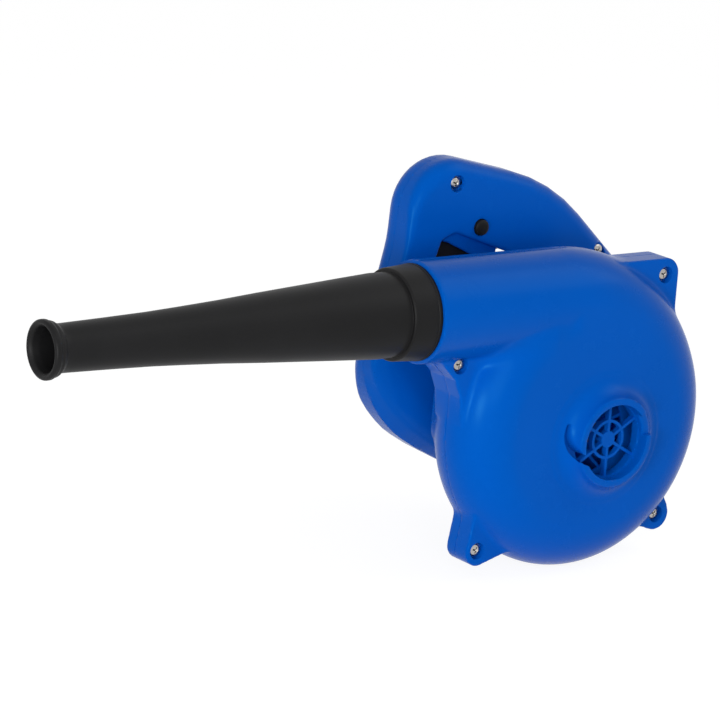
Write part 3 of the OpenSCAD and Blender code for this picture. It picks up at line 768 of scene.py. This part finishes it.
class Wire:
    """A shader socket that takes part in Python arithmetic."""

    def __init__(self, shade, socket):
        self.shade = shade
        self.socket = socket

    def _join(self, operation, a, b):
        wide = any(
            isinstance(v, Wire) and v.socket.type in {"VECTOR", "RGBA"} for v in (a, b)
        )
        kind = "ShaderNodeVectorMath" if wide else "ShaderNodeMath"
        return self.shade.add(kind, {"operation": operation}, {0: a, 1: b})

    def __add__(self, other):
        return self._join("ADD", self, other)

    def __radd__(self, other):
        return self._join("ADD", other, self)

    def __sub__(self, other):
        return self._join("SUBTRACT", self, other)

    def __rsub__(self, other):
        return self._join("SUBTRACT", other, self)

    def __mul__(self, other):
        return self._join("MULTIPLY", self, other)

    def __rmul__(self, other):
        return self._join("MULTIPLY", other, self)


class Shade:
    """The nodes of a material, or of a world, under construction."""

    def __init__(self, owner, output="ShaderNodeOutputMaterial"):
        self.owner = bpy.data.materials.new(owner) if isinstance(owner, str) else owner
        self.owner.use_nodes = True
        self.tree = self.owner.node_tree
        self.tree.nodes.clear()
        self.end = self.tree.nodes.new(output).inputs["Surface"]

    def add(self, kind, settings=None, inputs=None, output=0):
        node = self.tree.nodes.new(kind)
        for key, value in (settings or {}).items():
            setattr(node, key, value)
        for key, value in (inputs or {}).items():
            socket = node.inputs[key]
            if isinstance(value, Wire):
                self.tree.links.new(value.socket, socket)
            elif isinstance(value, (int, float)) and socket.type in {"VECTOR", "RGBA"}:
                socket.default_value = [value] * len(socket.default_value)
            else:
                socket.default_value = value
        return Wire(self, node.outputs[output])

    def ray(self, label):
        """1 where the ray is of the labelled sort, 0 elsewhere."""
        return self.add("ShaderNodeLightPath", output=label)

    def place(self):
        return self.add("ShaderNodeTexCoord", output="Object")

    def noise(self, scale, detail=3.0, where=None):
        return self.add(
            "ShaderNodeTexNoise",
            {"noise_dimensions": "3D"},
            {"Vector": where or self.place(), "Scale": scale, "Detail": detail},
        )

    def stretched(self, scale):
        return self.add(
            "ShaderNodeMapping", {}, {"Vector": self.place(), "Scale": scale}
        )

    def mixed(self, factor, a, b):
        return self.add(
            "ShaderNodeMix",
            {"data_type": "RGBA"},
            {0: factor, 6: a, 7: b},
            output=2,
        )

    def clamp(self, value, low, high):
        return self.add("ShaderNodeMapRange", {}, {0: value, 1: low, 2: high})

    def bump(self, height, strength, distance):
        return self.add(
            "ShaderNodeBump",
            {},
            {"Height": height, "Strength": strength, "Distance": distance},
        )

    def surface(self, **sockets):
        """Principled surface; an underscore in a socket's name stands for a space."""
        inputs = {key.replace("_", " "): value for key, value in sockets.items()}
        return self.add("ShaderNodeBsdfPrincipled", {}, inputs)

    def close(self, wire):
        """Ends the tree with a wire and gives what it belongs to."""
        self.tree.links.new(wire.socket, self.end)
        return self.owner

    def finish(self, **sockets):
        return self.close(self.surface(**sockets))


def rgba(colour, k=1.0):
    return (colour[0] * k, colour[1] * k, colour[2] * k, 1.0)


def blue_plastic(name, colour):
    """Injection-moulded housing: even colour, faint flow marks, fine grain."""
    s = Shade(name)
    flow = s.noise(9.0, 2.0, s.stretched((1.0, 1.6, 0.7)))
    grain = s.noise(950.0, 2.0)
    wave = s.noise(55.0, 2.0)
    tone = s.clamp(flow, 0.35, 0.65)
    base = s.mixed(tone, rgba(colour, 0.965), rgba(colour, 1.03))
    rough = 0.22 + s.clamp(wave, 0.3, 0.7) * 0.05 + grain * 0.03
    height = grain * 0.35 + wave * 0.65
    return s.finish(
        Base_Color=base,
        Roughness=rough,
        Normal=s.bump(height, 0.05, 0.0004),
        Specular_IOR_Level=0.1,
        Specular_Tint=(0.1, 0.7, 1.0, 1.0),
    )


def black_plastic(colour):
    """Dark moulded plastic with a fine spark-eroded grain and a soft sheen."""
    s = Shade("black_plastic")
    grain = s.noise(1400.0, 3.0)
    cloud = s.noise(24.0, 2.0)
    base = s.mixed(s.clamp(cloud, 0.3, 0.7), rgba(colour, 0.85), rgba(colour, 1.15))
    rough = 0.4 + s.clamp(cloud, 0.3, 0.7) * 0.07 + grain * 0.05
    return s.finish(
        Base_Color=base,
        Roughness=rough,
        Normal=s.bump(grain, 0.12, 0.0003),
        Specular_IOR_Level=0.12,
    )


def black_rubber(colour):
    s = Shade("black_rubber")
    grain = s.noise(700.0, 4.0)
    dust = s.noise(60.0, 3.0)
    base = s.mixed(s.clamp(dust, 0.45, 0.75), rgba(colour), rgba((0.05, 0.05, 0.05)))
    return s.finish(
        Base_Color=base, Roughness=0.7 + grain * 0.15, Normal=s.bump(grain, 0.3, 0.0003)
    )


def turned_metal(name, colour, rough, stretch, metal=1.0):
    """Metal with fine tool marks that run one way."""
    s = Shade(name)
    marks = s.noise(900.0, 3.0, s.stretched(stretch))
    stain = s.noise(70.0, 3.0)
    base = s.mixed(s.clamp(stain, 0.35, 0.7), rgba(colour), rgba(colour, 0.82))
    return s.finish(
        Base_Color=base,
        Metallic=metal,
        Roughness=rough + marks * 0.12,
        Normal=s.bump(marks, 0.08, 0.0002),
    )


def stacked_sheets(colour):
    """Core of thin sheets pressed together along the shaft."""
    s = Shade("laminated_steel")
    bands = s.add(
        "ShaderNodeTexWave",
        {"wave_type": "BANDS", "bands_direction": "Y"},
        {"Vector": s.place(), "Scale": 320.0, "Distortion": 0.0},
    )
    rust = s.noise(80.0, 4.0)
    base = s.mixed(s.clamp(rust, 0.5, 0.75), rgba(colour), rgba((0.2, 0.15, 0.12)))
    return s.finish(
        Base_Color=base,
        Metallic=0.9,
        Roughness=0.42 + rust * 0.15,
        Normal=s.bump(bands, 0.3, 0.0003),
    )


def wound_wire(colour):
    """Lacquered copper wire laid in rows, darker between the turns and lighter on them:
    painted shade and painted highlight.
    """
    s = Shade("copper_wire")
    turns = s.add(
        "ShaderNodeTexWave",
        {"wave_type": "RINGS", "rings_direction": "Y"},
        {"Vector": s.place(), "Scale": 420.0, "Distortion": 1.5, "Detail Scale": 2.0},
    )
    # the colour runs from 0.55 to 1.1 of the copper with the rows: painted shade in the
    # grooves between turns, painted highlight on their crowns
    base = s.mixed(turns, rgba(colour, 0.55), rgba(colour, 1.1))
    return s.finish(
        Base_Color=base,
        Metallic=0.75,
        Roughness=0.32 + turns * 0.1,
        Normal=s.bump(turns, 0.5, 0.0005),
    )


def carbon_block(colour):
    s = Shade("carbon")
    grit = s.noise(1200.0, 4.0)
    base = s.mixed(s.clamp(grit, 0.4, 0.7), rgba(colour), rgba(colour, 1.8))
    return s.finish(
        Base_Color=base, Roughness=0.55 + grit * 0.2, Normal=s.bump(grit, 0.2, 0.0003)
    )


def make_finishes():
    look = bpy.context.scene.blower_look
    steel, dark = (0.45, 0.43, 0.41), (0.03, 0.03, 0.032)
    # the wheel's blue is the housing blue made lighter: painted light for the shaded inlet
    wheel = [v * WHEEL_PAINTED_LIGHT_GAIN for v in look.housing_colour]
    return {
        "blue_housing": blue_plastic("blue_housing", look.housing_colour),
        "wheel_blue": blue_plastic("wheel_blue", wheel),
        "black_plastic": black_plastic(look.trim_colour),
        "black_rubber": black_rubber((0.018, 0.018, 0.018)),
        "bright_steel": turned_metal("bright_steel", steel, 0.16, (1, 0.15, 1)),
        "black_steel": turned_metal("black_steel", dark, 0.35, (1, 1, 1), 0.6),
        "spring_steel": turned_metal("spring_steel", (0.4, 0.41, 0.43), 0.3, (1, 1, 1)),
        "laminated_steel": stacked_sheets((0.3, 0.31, 0.33)),
        "copper_wire": wound_wire((0.5, 0.2, 0.07)),
        "copper_bar": turned_metal("copper_bar", (0.72, 0.36, 0.2), 0.22, (1, 4, 1)),
        "brass_sheet": turned_metal("brass_sheet", (0.72, 0.52, 0.2), 0.28, (1, 1, 1)),
        "carbon": carbon_block((0.02, 0.02, 0.021)),
    }


FINISH = {}


# ---------------------------------------------------------------- node groups


class Graph:
    """A geometry node tree under construction, with named inputs for its sizes."""

    def __init__(self, name, *inputs):
        self.tree = bpy.data.node_groups.new(name, "GeometryNodeTree")
        face = self.tree.interface
        face.new_socket("Geometry", in_out="INPUT", socket_type="NodeSocketGeometry")
        for label, kind, default in inputs:
            socket = face.new_socket(
                label, in_out="INPUT", socket_type="NodeSocket" + kind
            )
            socket.default_value = default
        face.new_socket("Geometry", in_out="OUTPUT", socket_type="NodeSocketGeometry")
        self.source = self.tree.nodes.new("NodeGroupInput")
        self.sink = self.tree.nodes.new("NodeGroupOutput")

    def given(self, label):
        return self.source.outputs[label]

    def add(self, kind, inputs=None, **settings):
        """Adds a node; an input is a value, a link, or a list of links to one socket."""
        node = self.tree.nodes.new("GeometryNode" + kind)
        return self.fill(node, inputs, settings)

    def fill(self, node, inputs, settings):
        for key, value in settings.items():
            setattr(node, key, value)
        for key, value in (inputs or {}).items():
            for one in value if isinstance(value, list) else [value]:
                if isinstance(one, bpy.types.NodeSocket):
                    self.tree.links.new(one, node.inputs[key])
                else:
                    node.inputs[key].default_value = one
        return node.outputs[0]

    def work(self, a, b, operation="ADD"):
        node = self.tree.nodes.new("ShaderNodeMath")
        return self.fill(node, {0: a, 1: b}, {"operation": operation})

    def times(self, a, b):
        return self.work(a, b, "MULTIPLY")

    def vector(self, x=0.0, y=0.0, z=0.0):
        node = self.tree.nodes.new("ShaderNodeCombineXYZ")
        return self.fill(node, {0: x, 1: y, 2: z}, {})

    def raised(self, geometry, height, **sockets):
        """Geometry moved up its own axis."""
        inputs = {"Geometry": geometry, "Translation": self.vector(z=height), **sockets}
        return self.add("Transform", inputs)

    def cylinder(self, vertices, radius, depth):
        inputs = {"Vertices": vertices, "Radius": radius, "Depth": depth}
        return self.add("MeshCylinder", inputs)

    def turns(self, count, whole):
        """Angle of each of a count of points that share out a whole turn."""
        index = self.add("InputIndex")
        return self.work(self.times(index, whole), count, "DIVIDE")

    def spread(self, points, instance, rotation):
        inputs = {"Points": points, "Instance": instance, "Rotation": rotation}
        return self.add("InstanceOnPoints", inputs)

    def close(self, geometry, material):
        """Ends the tree with real geometry that has its material."""
        real = self.add("RealizeInstances", {"Geometry": geometry})
        painted = self.add("SetMaterial", {"Geometry": real, "Material": material})
        self.tree.links.new(painted, self.sink.inputs[0])
        return self.tree


def screw_group(material):
    """Cross-recessed pan screws on the points of the object."""
    g = Graph(
        "Pan screws",
        ("Head radius", "Float", 0.0038),
        ("Head height", "Float", 0.0026),
        ("Shank radius", "Float", 0.00195),
        ("Shank length", "Float", 0.013),
        ("Recess width", "Float", 0.0009),
    )
    dome_at, dome_squash, collar_share = 0.42, 0.36, 0.5
    recess_reach, recess_depth, shank_sink = 1.15, 0.9, -0.4999
    head_r, head_h = g.given("Head radius"), g.given("Head height")
    ball = g.add("MeshUVSphere", {"Segments": 40, "Rings": 20, "Radius": head_r})
    dome = g.raised(ball, g.times(head_h, dome_at), Scale=(1, 1, dome_squash))
    collar_h = g.times(head_h, collar_share)
    collar = g.raised(g.cylinder(40, head_r, collar_h), g.times(collar_h, 0.5))
    length = g.given("Shank length")
    shank = g.cylinder(24, g.given("Shank radius"), length)
    shank = g.raised(shank, g.times(length, shank_sink))
    arms = []
    width, span = g.given("Recess width"), g.times(head_r, recess_reach)
    for x, y in ((width, span), (span, width)):
        cube = g.add("MeshCube", {"Size": g.vector(x, y, g.times(head_h, recess_depth))})
        arms.append(g.raised(cube, head_h))
    solid = g.add("MeshBoolean", {1: [shank, collar, dome]}, operation="UNION")
    screw = g.add("MeshBoolean", {0: solid, 1: arms}, operation="DIFFERENCE")
    lean = (math.radians(90), math.radians(18), 0)
    return g.close(g.spread(g.given("Geometry"), screw, lean), material)


def spoke_group(material):
    """Guard hub and ring with flat spokes that run out to the inlet wall."""
    g = Graph(
        "Guard spokes",
        ("Spokes", "Int", 6),
        ("Hub radius", "Float", 0.005),
        ("Ring radius", "Float", 0.0111),
        ("Inlet radius", "Float", 0.0222),
        ("Depth", "Float", 0.0036),
        ("Width", "Float", 0.0018),
    )
    # the hub stands a little deeper than the spokes and the ring a little less,
    # so that no two faces lie in one plane
    step, wall_overlap, guard_y = 0.0002, 0.0014, 0.010
    hub_r, inlet_r = g.given("Hub radius"), g.given("Inlet radius")
    depth, width, count = g.given("Depth"), g.given("Width"), g.given("Spokes")
    hub = g.cylinder(48, hub_r, g.work(depth, step))
    length = g.work(g.work(inlet_r, hub_r, "SUBTRACT"), wall_overlap)
    middle = g.times(g.work(inlet_r, hub_r), 0.5)
    bar = g.add("MeshCube", {"Size": g.vector(length, width, depth)})
    points = g.add("MeshCircle", {"Vertices": count, "Radius": middle})
    spokes = g.spread(points, bar, g.vector(z=g.turns(count, 2 * math.pi)))
    line = g.add(
        "CurvePrimitiveCircle", {"Resolution": 64, "Radius": g.given("Ring radius")}
    )
    section = g.add(
        "CurvePrimitiveQuadrilateral", {"Width": width, "Height": g.work(depth, -step)}
    )
    hoop = g.add("CurveToMesh", {"Curve": line, "Profile Curve": section})
    joined = g.add("JoinGeometry", {0: [spokes, hub, hoop]})
    placed = g.add(
        "Transform",
        {
            "Geometry": joined,
            "Rotation": (math.radians(90), math.radians(30), 0),
            "Translation": (0, guard_y, 0),
        },
    )
    return g.close(placed, material)


def wheel_group(material):
    """The object's one blade, repeated round the fan axis."""
    g = Graph("Fan blades", ("Blades", "Int", 9))
    count = g.given("Blades")
    centres = g.add("MeshCircle", {"Vertices": count, "Radius": 0.0})
    facing = g.vector(y=g.turns(count, -2 * math.pi))
    return g.close(g.spread(centres, g.given("Geometry"), facing), material)


GROWN_CREASE = 35


def grow(name, points, group, values, faces=()):
    """Runs a node group on some points or faces and keeps its plain mesh."""
    seed = bpy.data.meshes.new(name + "_points")
    seed.from_pydata([tuple(v * MM for v in p) for p in points], [], list(faces))
    holder = bpy.data.objects.new(name + "_points", seed)
    bpy.context.scene.collection.objects.link(holder)
    modifier = holder.modifiers.new("Nodes", "NODES")
    modifier.node_group = group
    for item in group.interface.items_tree:
        if item.in_out == "INPUT" and item.name in values:
            modifier[item.identifier] = values[item.name]
    evaluated = holder.evaluated_get(bpy.context.evaluated_depsgraph_get())
    mesh = bpy.data.meshes.new_from_object(evaluated)
    mesh.name = name
    bpy.data.objects.remove(holder)
    return show(name, mesh, GROWN_CREASE)


# ---------------------------------------------------------------- settings


class BlowerLook(bpy.types.PropertyGroup):
    housing_colour: FloatVectorProperty(
        name="Housing colour",
        description="Colour of the moulded housing",
        default=(0.0, 0.092, 0.49),
        subtype="COLOR",
        min=0,
        max=1,
    )
    trim_colour: FloatVectorProperty(
        name="Trim colour",
        description="Colour of the nozzle, trigger and button",
        default=(0.0085, 0.0085, 0.009),
        subtype="COLOR",
        min=0,
        max=1,
    )
    grid: FloatProperty(
        name="Mesh grid",
        description="Spacing of the grid that the housings are meshed on",
        default=0.00125,
        min=0.0008,
        max=0.004,
        unit="LENGTH",
    )
    spokes: IntProperty(
        name="Guard spokes",
        description="Spokes in the inlet guard",
        default=6,
        min=3,
        max=12,
    )
    blades: IntProperty(
        name="Fan blades", description="Blades of the fan wheel", default=9, min=5, max=13
    )
    head_radius: FloatProperty(
        name="Screw head radius",
        description="Outside radius of the housing screws",
        default=0.0038,
        unit="LENGTH",
    )


class BlowerStudio(bpy.types.PropertyGroup):
    key: FloatProperty(
        name="Key light", description="Power of the soft light in front", default=8.5, min=0
    )
    side: FloatProperty(
        name="Side light",
        description="Power of the soft light at the left",
        default=7.0,
        min=0,
    )
    top: FloatProperty(
        name="Top light", description="Power of the soft light above", default=4.0, min=0
    )
    sky: FloatProperty(
        name="Surround", description="Level of the even surround light", default=0.37, min=0
    )


# ---------------------------------------------------------------- pieces


def grid_step(coarse=1.0):
    step = bpy.context.scene.blower_look.grid / MM * coarse
    return step


class BLOWER_OT_finishes(bpy.types.Operator):
    """Make the materials and give every solid its finish"""

    bl_idname = "blower.finishes"
    bl_label = "Finishes"

    def execute(self, context):
        FINISH.update(make_finishes())
        for name, node in frame["nodes"].items():
            node.data.materials.clear()
            node.data.materials.append(FINISH[NODE_SLOT[name]])
        return {"FINISHED"}


class BLOWER_OT_front_cover(bpy.types.Operator):
    """Build the front half of the fan case with its inlet and guard"""

    bl_idname = "blower.front_cover"
    bl_label = "Front cover"

    def execute(self, context):
        verts, faces = contour(
            front_cover_field, (-129, -3, -88), (90, 44, 113), grid_step()
        )
        blue = FINISH["blue_housing"]
        settle(mesh_piece("fan_cover", verts, faces, blue), "blue_housing", "front_cover")
        look = context.scene.blower_look
        guard = grow(
            "inlet_spokes", [(0, 0, 0)], spoke_group(blue), {"Spokes": look.spokes}
        )
        settle(guard, "blue_housing")
        return {"FINISHED"}


class BLOWER_OT_fan_wheel(bpy.types.Operator):
    """Build the fan wheel that shows through the inlet"""

    bl_idname = "blower.fan_wheel"
    bl_label = "Fan wheel"

    def execute(self, context):
        # lighter copy of the housing blue: painted light that makes up for the shade inside
        # the inlet
        blue = FINISH["wheel_blue"]
        rows = [blade_row(r) for r in np.linspace(9.5, WHEEL_R - 0.6, 16)]
        points = [p for row in rows for p in row]
        faces = [(0, 1, 2, 3)]
        for i in range(len(rows) - 1):
            a, b = 4 * i, 4 * i + 4
            faces += [(a + k, b + k, b + (k + 1) % 4, a + (k + 1) % 4) for k in range(4)]
        last = len(points) - 4
        faces.append((last + 3, last + 2, last + 1, last))
        blades = grow(
            "blades",
            points,
            wheel_group(blue),
            {"Blades": context.scene.blower_look.blades},
            faces,
        )
        bm = bmesh.new()
        bm.from_mesh(blades.data)
        bpy.data.objects.remove(blades)
        upright = Matrix.Rotation(math.radians(-90), 4, "X")
        for name, profile in (("hub", WHEEL_HUB), ("shroud", WHEEL_SHROUD)):
            turned = lathe(name, eased(profile, 0.5), upright, blue)
            bm.from_mesh(turned.data)
            bpy.data.objects.remove(turned)
        bmesh.ops.recalc_face_normals(bm, faces=bm.faces)
        settle(from_bmesh("fan_wheel", bm, blue), "blue_housing", "impeller")
        return {"FINISHED"}


class BLOWER_OT_main_housing(bpy.types.Operator):
    """Build the rear half of the fan case with the motor barrel and near handle half"""

    bl_idname = "blower.main_housing"
    bl_label = "Main housing"

    def execute(self, context):
        verts, faces = contour(
            main_housing_field, (-129, 38, -88), (90, 115, 157), grid_step(1.16)
        )
        piece = mesh_piece("motor_case", verts, faces, FINISH["blue_housing"])
        settle(piece, "blue_housing", "main_housing")
        return {"FINISHED"}


class BLOWER_OT_rear_housing(bpy.types.Operator):
    """Build the far handle half and the end of the motor barrel"""

    bl_idname = "blower.rear_housing"
    bl_label = "Rear housing"

    def execute(self, context):
        verts, faces = contour(
            rear_housing_field, (-114, 109, -50), (90, 181, 157), grid_step()
        )
        piece = mesh_piece("rear_case", verts, faces, FINISH["blue_housing"])
        settle(piece, "blue_housing", "rear_housing")
        return {"FINISHED"}


class BLOWER_OT_nozzle(bpy.types.Operator):
    """Turn the tapered nozzle with its collar and rolled tip"""

    bl_idname = "blower.nozzle"
    bl_label = "Nozzle"

    def execute(self, context):
        place = Matrix.Translation((MOUTH_X, SEAM_Y, DUCT_Z)) @ Matrix.Rotation(
            math.radians(-90), 4, "Y"
        )
        piece = lathe(
            "blow_nozzle", eased(NOZZLE, 0.5), place, FINISH["black_plastic"], crease=40
        )
        settle(piece, "black_plastic", "nozzle")
        return {"FINISHED"}


class BLOWER_OT_screws(bpy.types.Operator):
    """Set the cross-recessed screws of the case and the handle"""

    bl_idname = "blower.screws"
    bl_label = "Screws"

    def execute(self, context):
        look = context.scene.blower_look
        group = screw_group(FINISH["bright_steel"])
        for name, node, spots, seat, length in (
            ("cover_screws", "case_screws", CASE_SCREWS, LUG_Y + RECESS_DEPTH, 0.013),
            ("grip_screws", "handle_screws", HANDLE_SCREWS, HANDLE_Y + RECESS_DEPTH, 0.017),
        ):
            points = [(x, seat, z) for x, z in spots]
            values = {"Head radius": look.head_radius, "Shank length": length}
            settle(grow(name, points, group, values), "bright_steel", node)
        return {"FINISHED"}


class BLOWER_OT_controls(bpy.types.Operator):
    """Build the trigger and the lock button"""

    bl_idname = "blower.controls"
    bl_label = "Controls"

    def execute(self, context):
        black = FINISH["black_plastic"]
        y0 = HANDLE_Y - 2.5
        button = [
            (0.0, y0, 0.0),
            (3.2, y0 + 0.15, 1.0),
            (BUTTON_R, y0 + 0.8, 0.9),
            (BUTTON_R, HANDLE_Y + 3.0, 0.2),
            (BUTTON_R + 0.8, HANDLE_Y + 3.0, 0.2),
            (BUTTON_R + 0.8, HANDLE_Y + 4.3, 0.2),
            (2.0, HANDLE_Y + 4.3, 0.2),
            (2.0, HANDLE_Y + 8.5, 0.3),
            (0.0, HANDLE_Y + 8.5, 0.0),
        ]
        place = Matrix.Translation((BUTTON[0], y0, BUTTON[1])) @ Matrix.Rotation(
            math.radians(-90), 4, "X"
        )
        shape = eased([(r, y - y0, ease) for r, y, ease in button], 0.3)
        piece = lathe("hold_button", shape, place, black, 64)
        settle(piece, "black_plastic", "lock_button")
        verts, faces = contour(trigger_field, (-73, 101, 79), (-33, 123, 113), 0.7)
        piece = mesh_piece("squeeze_trigger", verts, faces, black)
        settle(piece, "black_plastic", "trigger")
        return {"FINISHED"}


class BLOWER_OT_stage(bpy.types.Operator):
    """Lay the floor, hang the lights and place the camera"""

    bl_idname = "blower.stage"
    bl_label = "Stage"

    def execute(self, context):
        scene = context.scene
        studio = scene.blower_studio
        bm = bmesh.new()
        bmesh.ops.create_grid(bm, x_segments=1, y_segments=1, size=FLOOR_HALF)
        bmesh.ops.translate(bm, vec=(0, 0, FLOOR_Z), verts=bm.verts)
        floor = from_bmesh("floor", bm, floor_finish())
        scene.world = surround(studio.sky)
        for name, place, size in LAMPS:
            lamp = bpy.data.lights.new(name, "AREA")
            lamp.energy = getattr(studio, name)
            lamp.size = size
            holder = bpy.data.objects.new(name, lamp)
            scene.collection.objects.link(holder)
            aim = Vector(LAMP_AIM) - Vector(place)
            turn = aim.to_track_quat("-Z", "Y").to_matrix().to_4x4()
            holder.matrix_world = Matrix.Translation(place) @ turn
        place_camera(scene)
        scene.view_settings.view_transform = "Standard"
        return {"FINISHED"}


def floor_finish():
    """White floor that keeps a soft shadow."""
    s = Shade("studio_floor")
    matt = s.surface(Base_Color=(0.9, 0.9, 0.9, 1), Roughness=0.9)
    glow = s.add("ShaderNodeEmission", {}, {"Strength": FLOOR_GLOW})
    seen = s.ray("Is Camera Ray") + s.ray("Is Glossy Ray")
    return s.close(
        s.add("ShaderNodeMixShader", {}, {0: seen * FLOOR_GLOW_SHARE, 1: matt, 2: glow})
    )


def surround(level):
    """Even studio light, white where it is seen directly or mirrored."""
    s = Shade(bpy.data.worlds.new("studio"), "ShaderNodeOutputWorld")

    def either(a, b):
        return s.add("ShaderNodeMath", {"operation": "MAXIMUM"}, {0: a, 1: b})

    mirrored = either(s.ray("Is Glossy Ray"), s.ray("Is Transmission Ray"))
    seen = either(s.ray("Is Camera Ray"), mirrored)
    strength = s.add(
        "ShaderNodeMapRange", {}, {"Value": seen, "To Min": level, "To Max": 1.0}
    )
    white = (1.0, 1.0, 1.0, 1.0)
    return s.close(
        s.add("ShaderNodeBackground", {}, {"Color": white, "Strength": strength})
    )


def place_camera(scene):
    """Long lens, a little above and to the left of the inlet side, slightly rolled."""
    azimuth, rise, roll = (math.radians(v) for v in CAMERA_ANGLES)
    ahead = Vector(
        (
            math.sin(azimuth) * math.cos(rise),
            math.cos(azimuth) * math.cos(rise),
            -math.sin(rise),
        )
    )
    side = Vector((math.cos(azimuth), -math.sin(azimuth), 0))
    top = side.cross(ahead)
    right = math.cos(roll) * side + math.sin(roll) * top
    up = -math.sin(roll) * side + math.cos(roll) * top
    across, rising, away = CAMERA_SHIFT
    place = Vector(CAMERA_FROM) - across * right - rising * up - away * ahead
    place = place * MM
    turn = Matrix((right, up, -ahead)).transposed().to_4x4()
    lens = bpy.data.cameras.new("camera")
    lens.lens = CAMERA_LENS
    lens.sensor_width = SENSOR
    lens.clip_end = 20
    camera = bpy.data.objects.new("camera", lens)
    camera.matrix_world = Matrix.Translation(place) @ turn
    scene.collection.objects.link(camera)
    scene.camera = camera


class BLOWER_PT_panel(bpy.types.Panel):
    """Buttons for each piece of the blower"""

    bl_label = "Air blower"
    bl_idname = "BLOWER_PT_panel"
    bl_space_type = "VIEW_3D"
    bl_region_type = "UI"
    bl_category = "Blower"

    def draw(self, context):
        layout = self.layout
        for group in (context.scene.blower_look, context.scene.blower_studio):
            for key in group.__annotations__:
                layout.prop(group, key)
        for operator in OPERATORS:
            layout.operator(operator.bl_idname)


OPERATORS = (
    BLOWER_OT_stage,
    BLOWER_OT_finishes,
    BLOWER_OT_front_cover,
    BLOWER_OT_fan_wheel,
    BLOWER_OT_main_housing,
    BLOWER_OT_rear_housing,
    BLOWER_OT_nozzle,
    BLOWER_OT_screws,
    BLOWER_OT_controls,
)
CLASSES = (BlowerLook, BlowerStudio, *OPERATORS, BLOWER_PT_panel)


def register():
    for cls in CLASSES:
        bpy.utils.register_class(cls)
    bpy.types.Scene.blower_look = PointerProperty(type=BlowerLook)
    bpy.types.Scene.blower_studio = PointerProperty(type=BlowerStudio)


def unregister():
    del bpy.types.Scene.blower_studio
    del bpy.types.Scene.blower_look
    for cls in reversed(CLASSES):
        bpy.utils.unregister_class(cls)


def main():
    register()
    for operator in OPERATORS:
        _, _, name = operator.bl_idname.partition(".")
        getattr(bpy.ops.blower, name)()


if __name__ == "__main__":
    main()
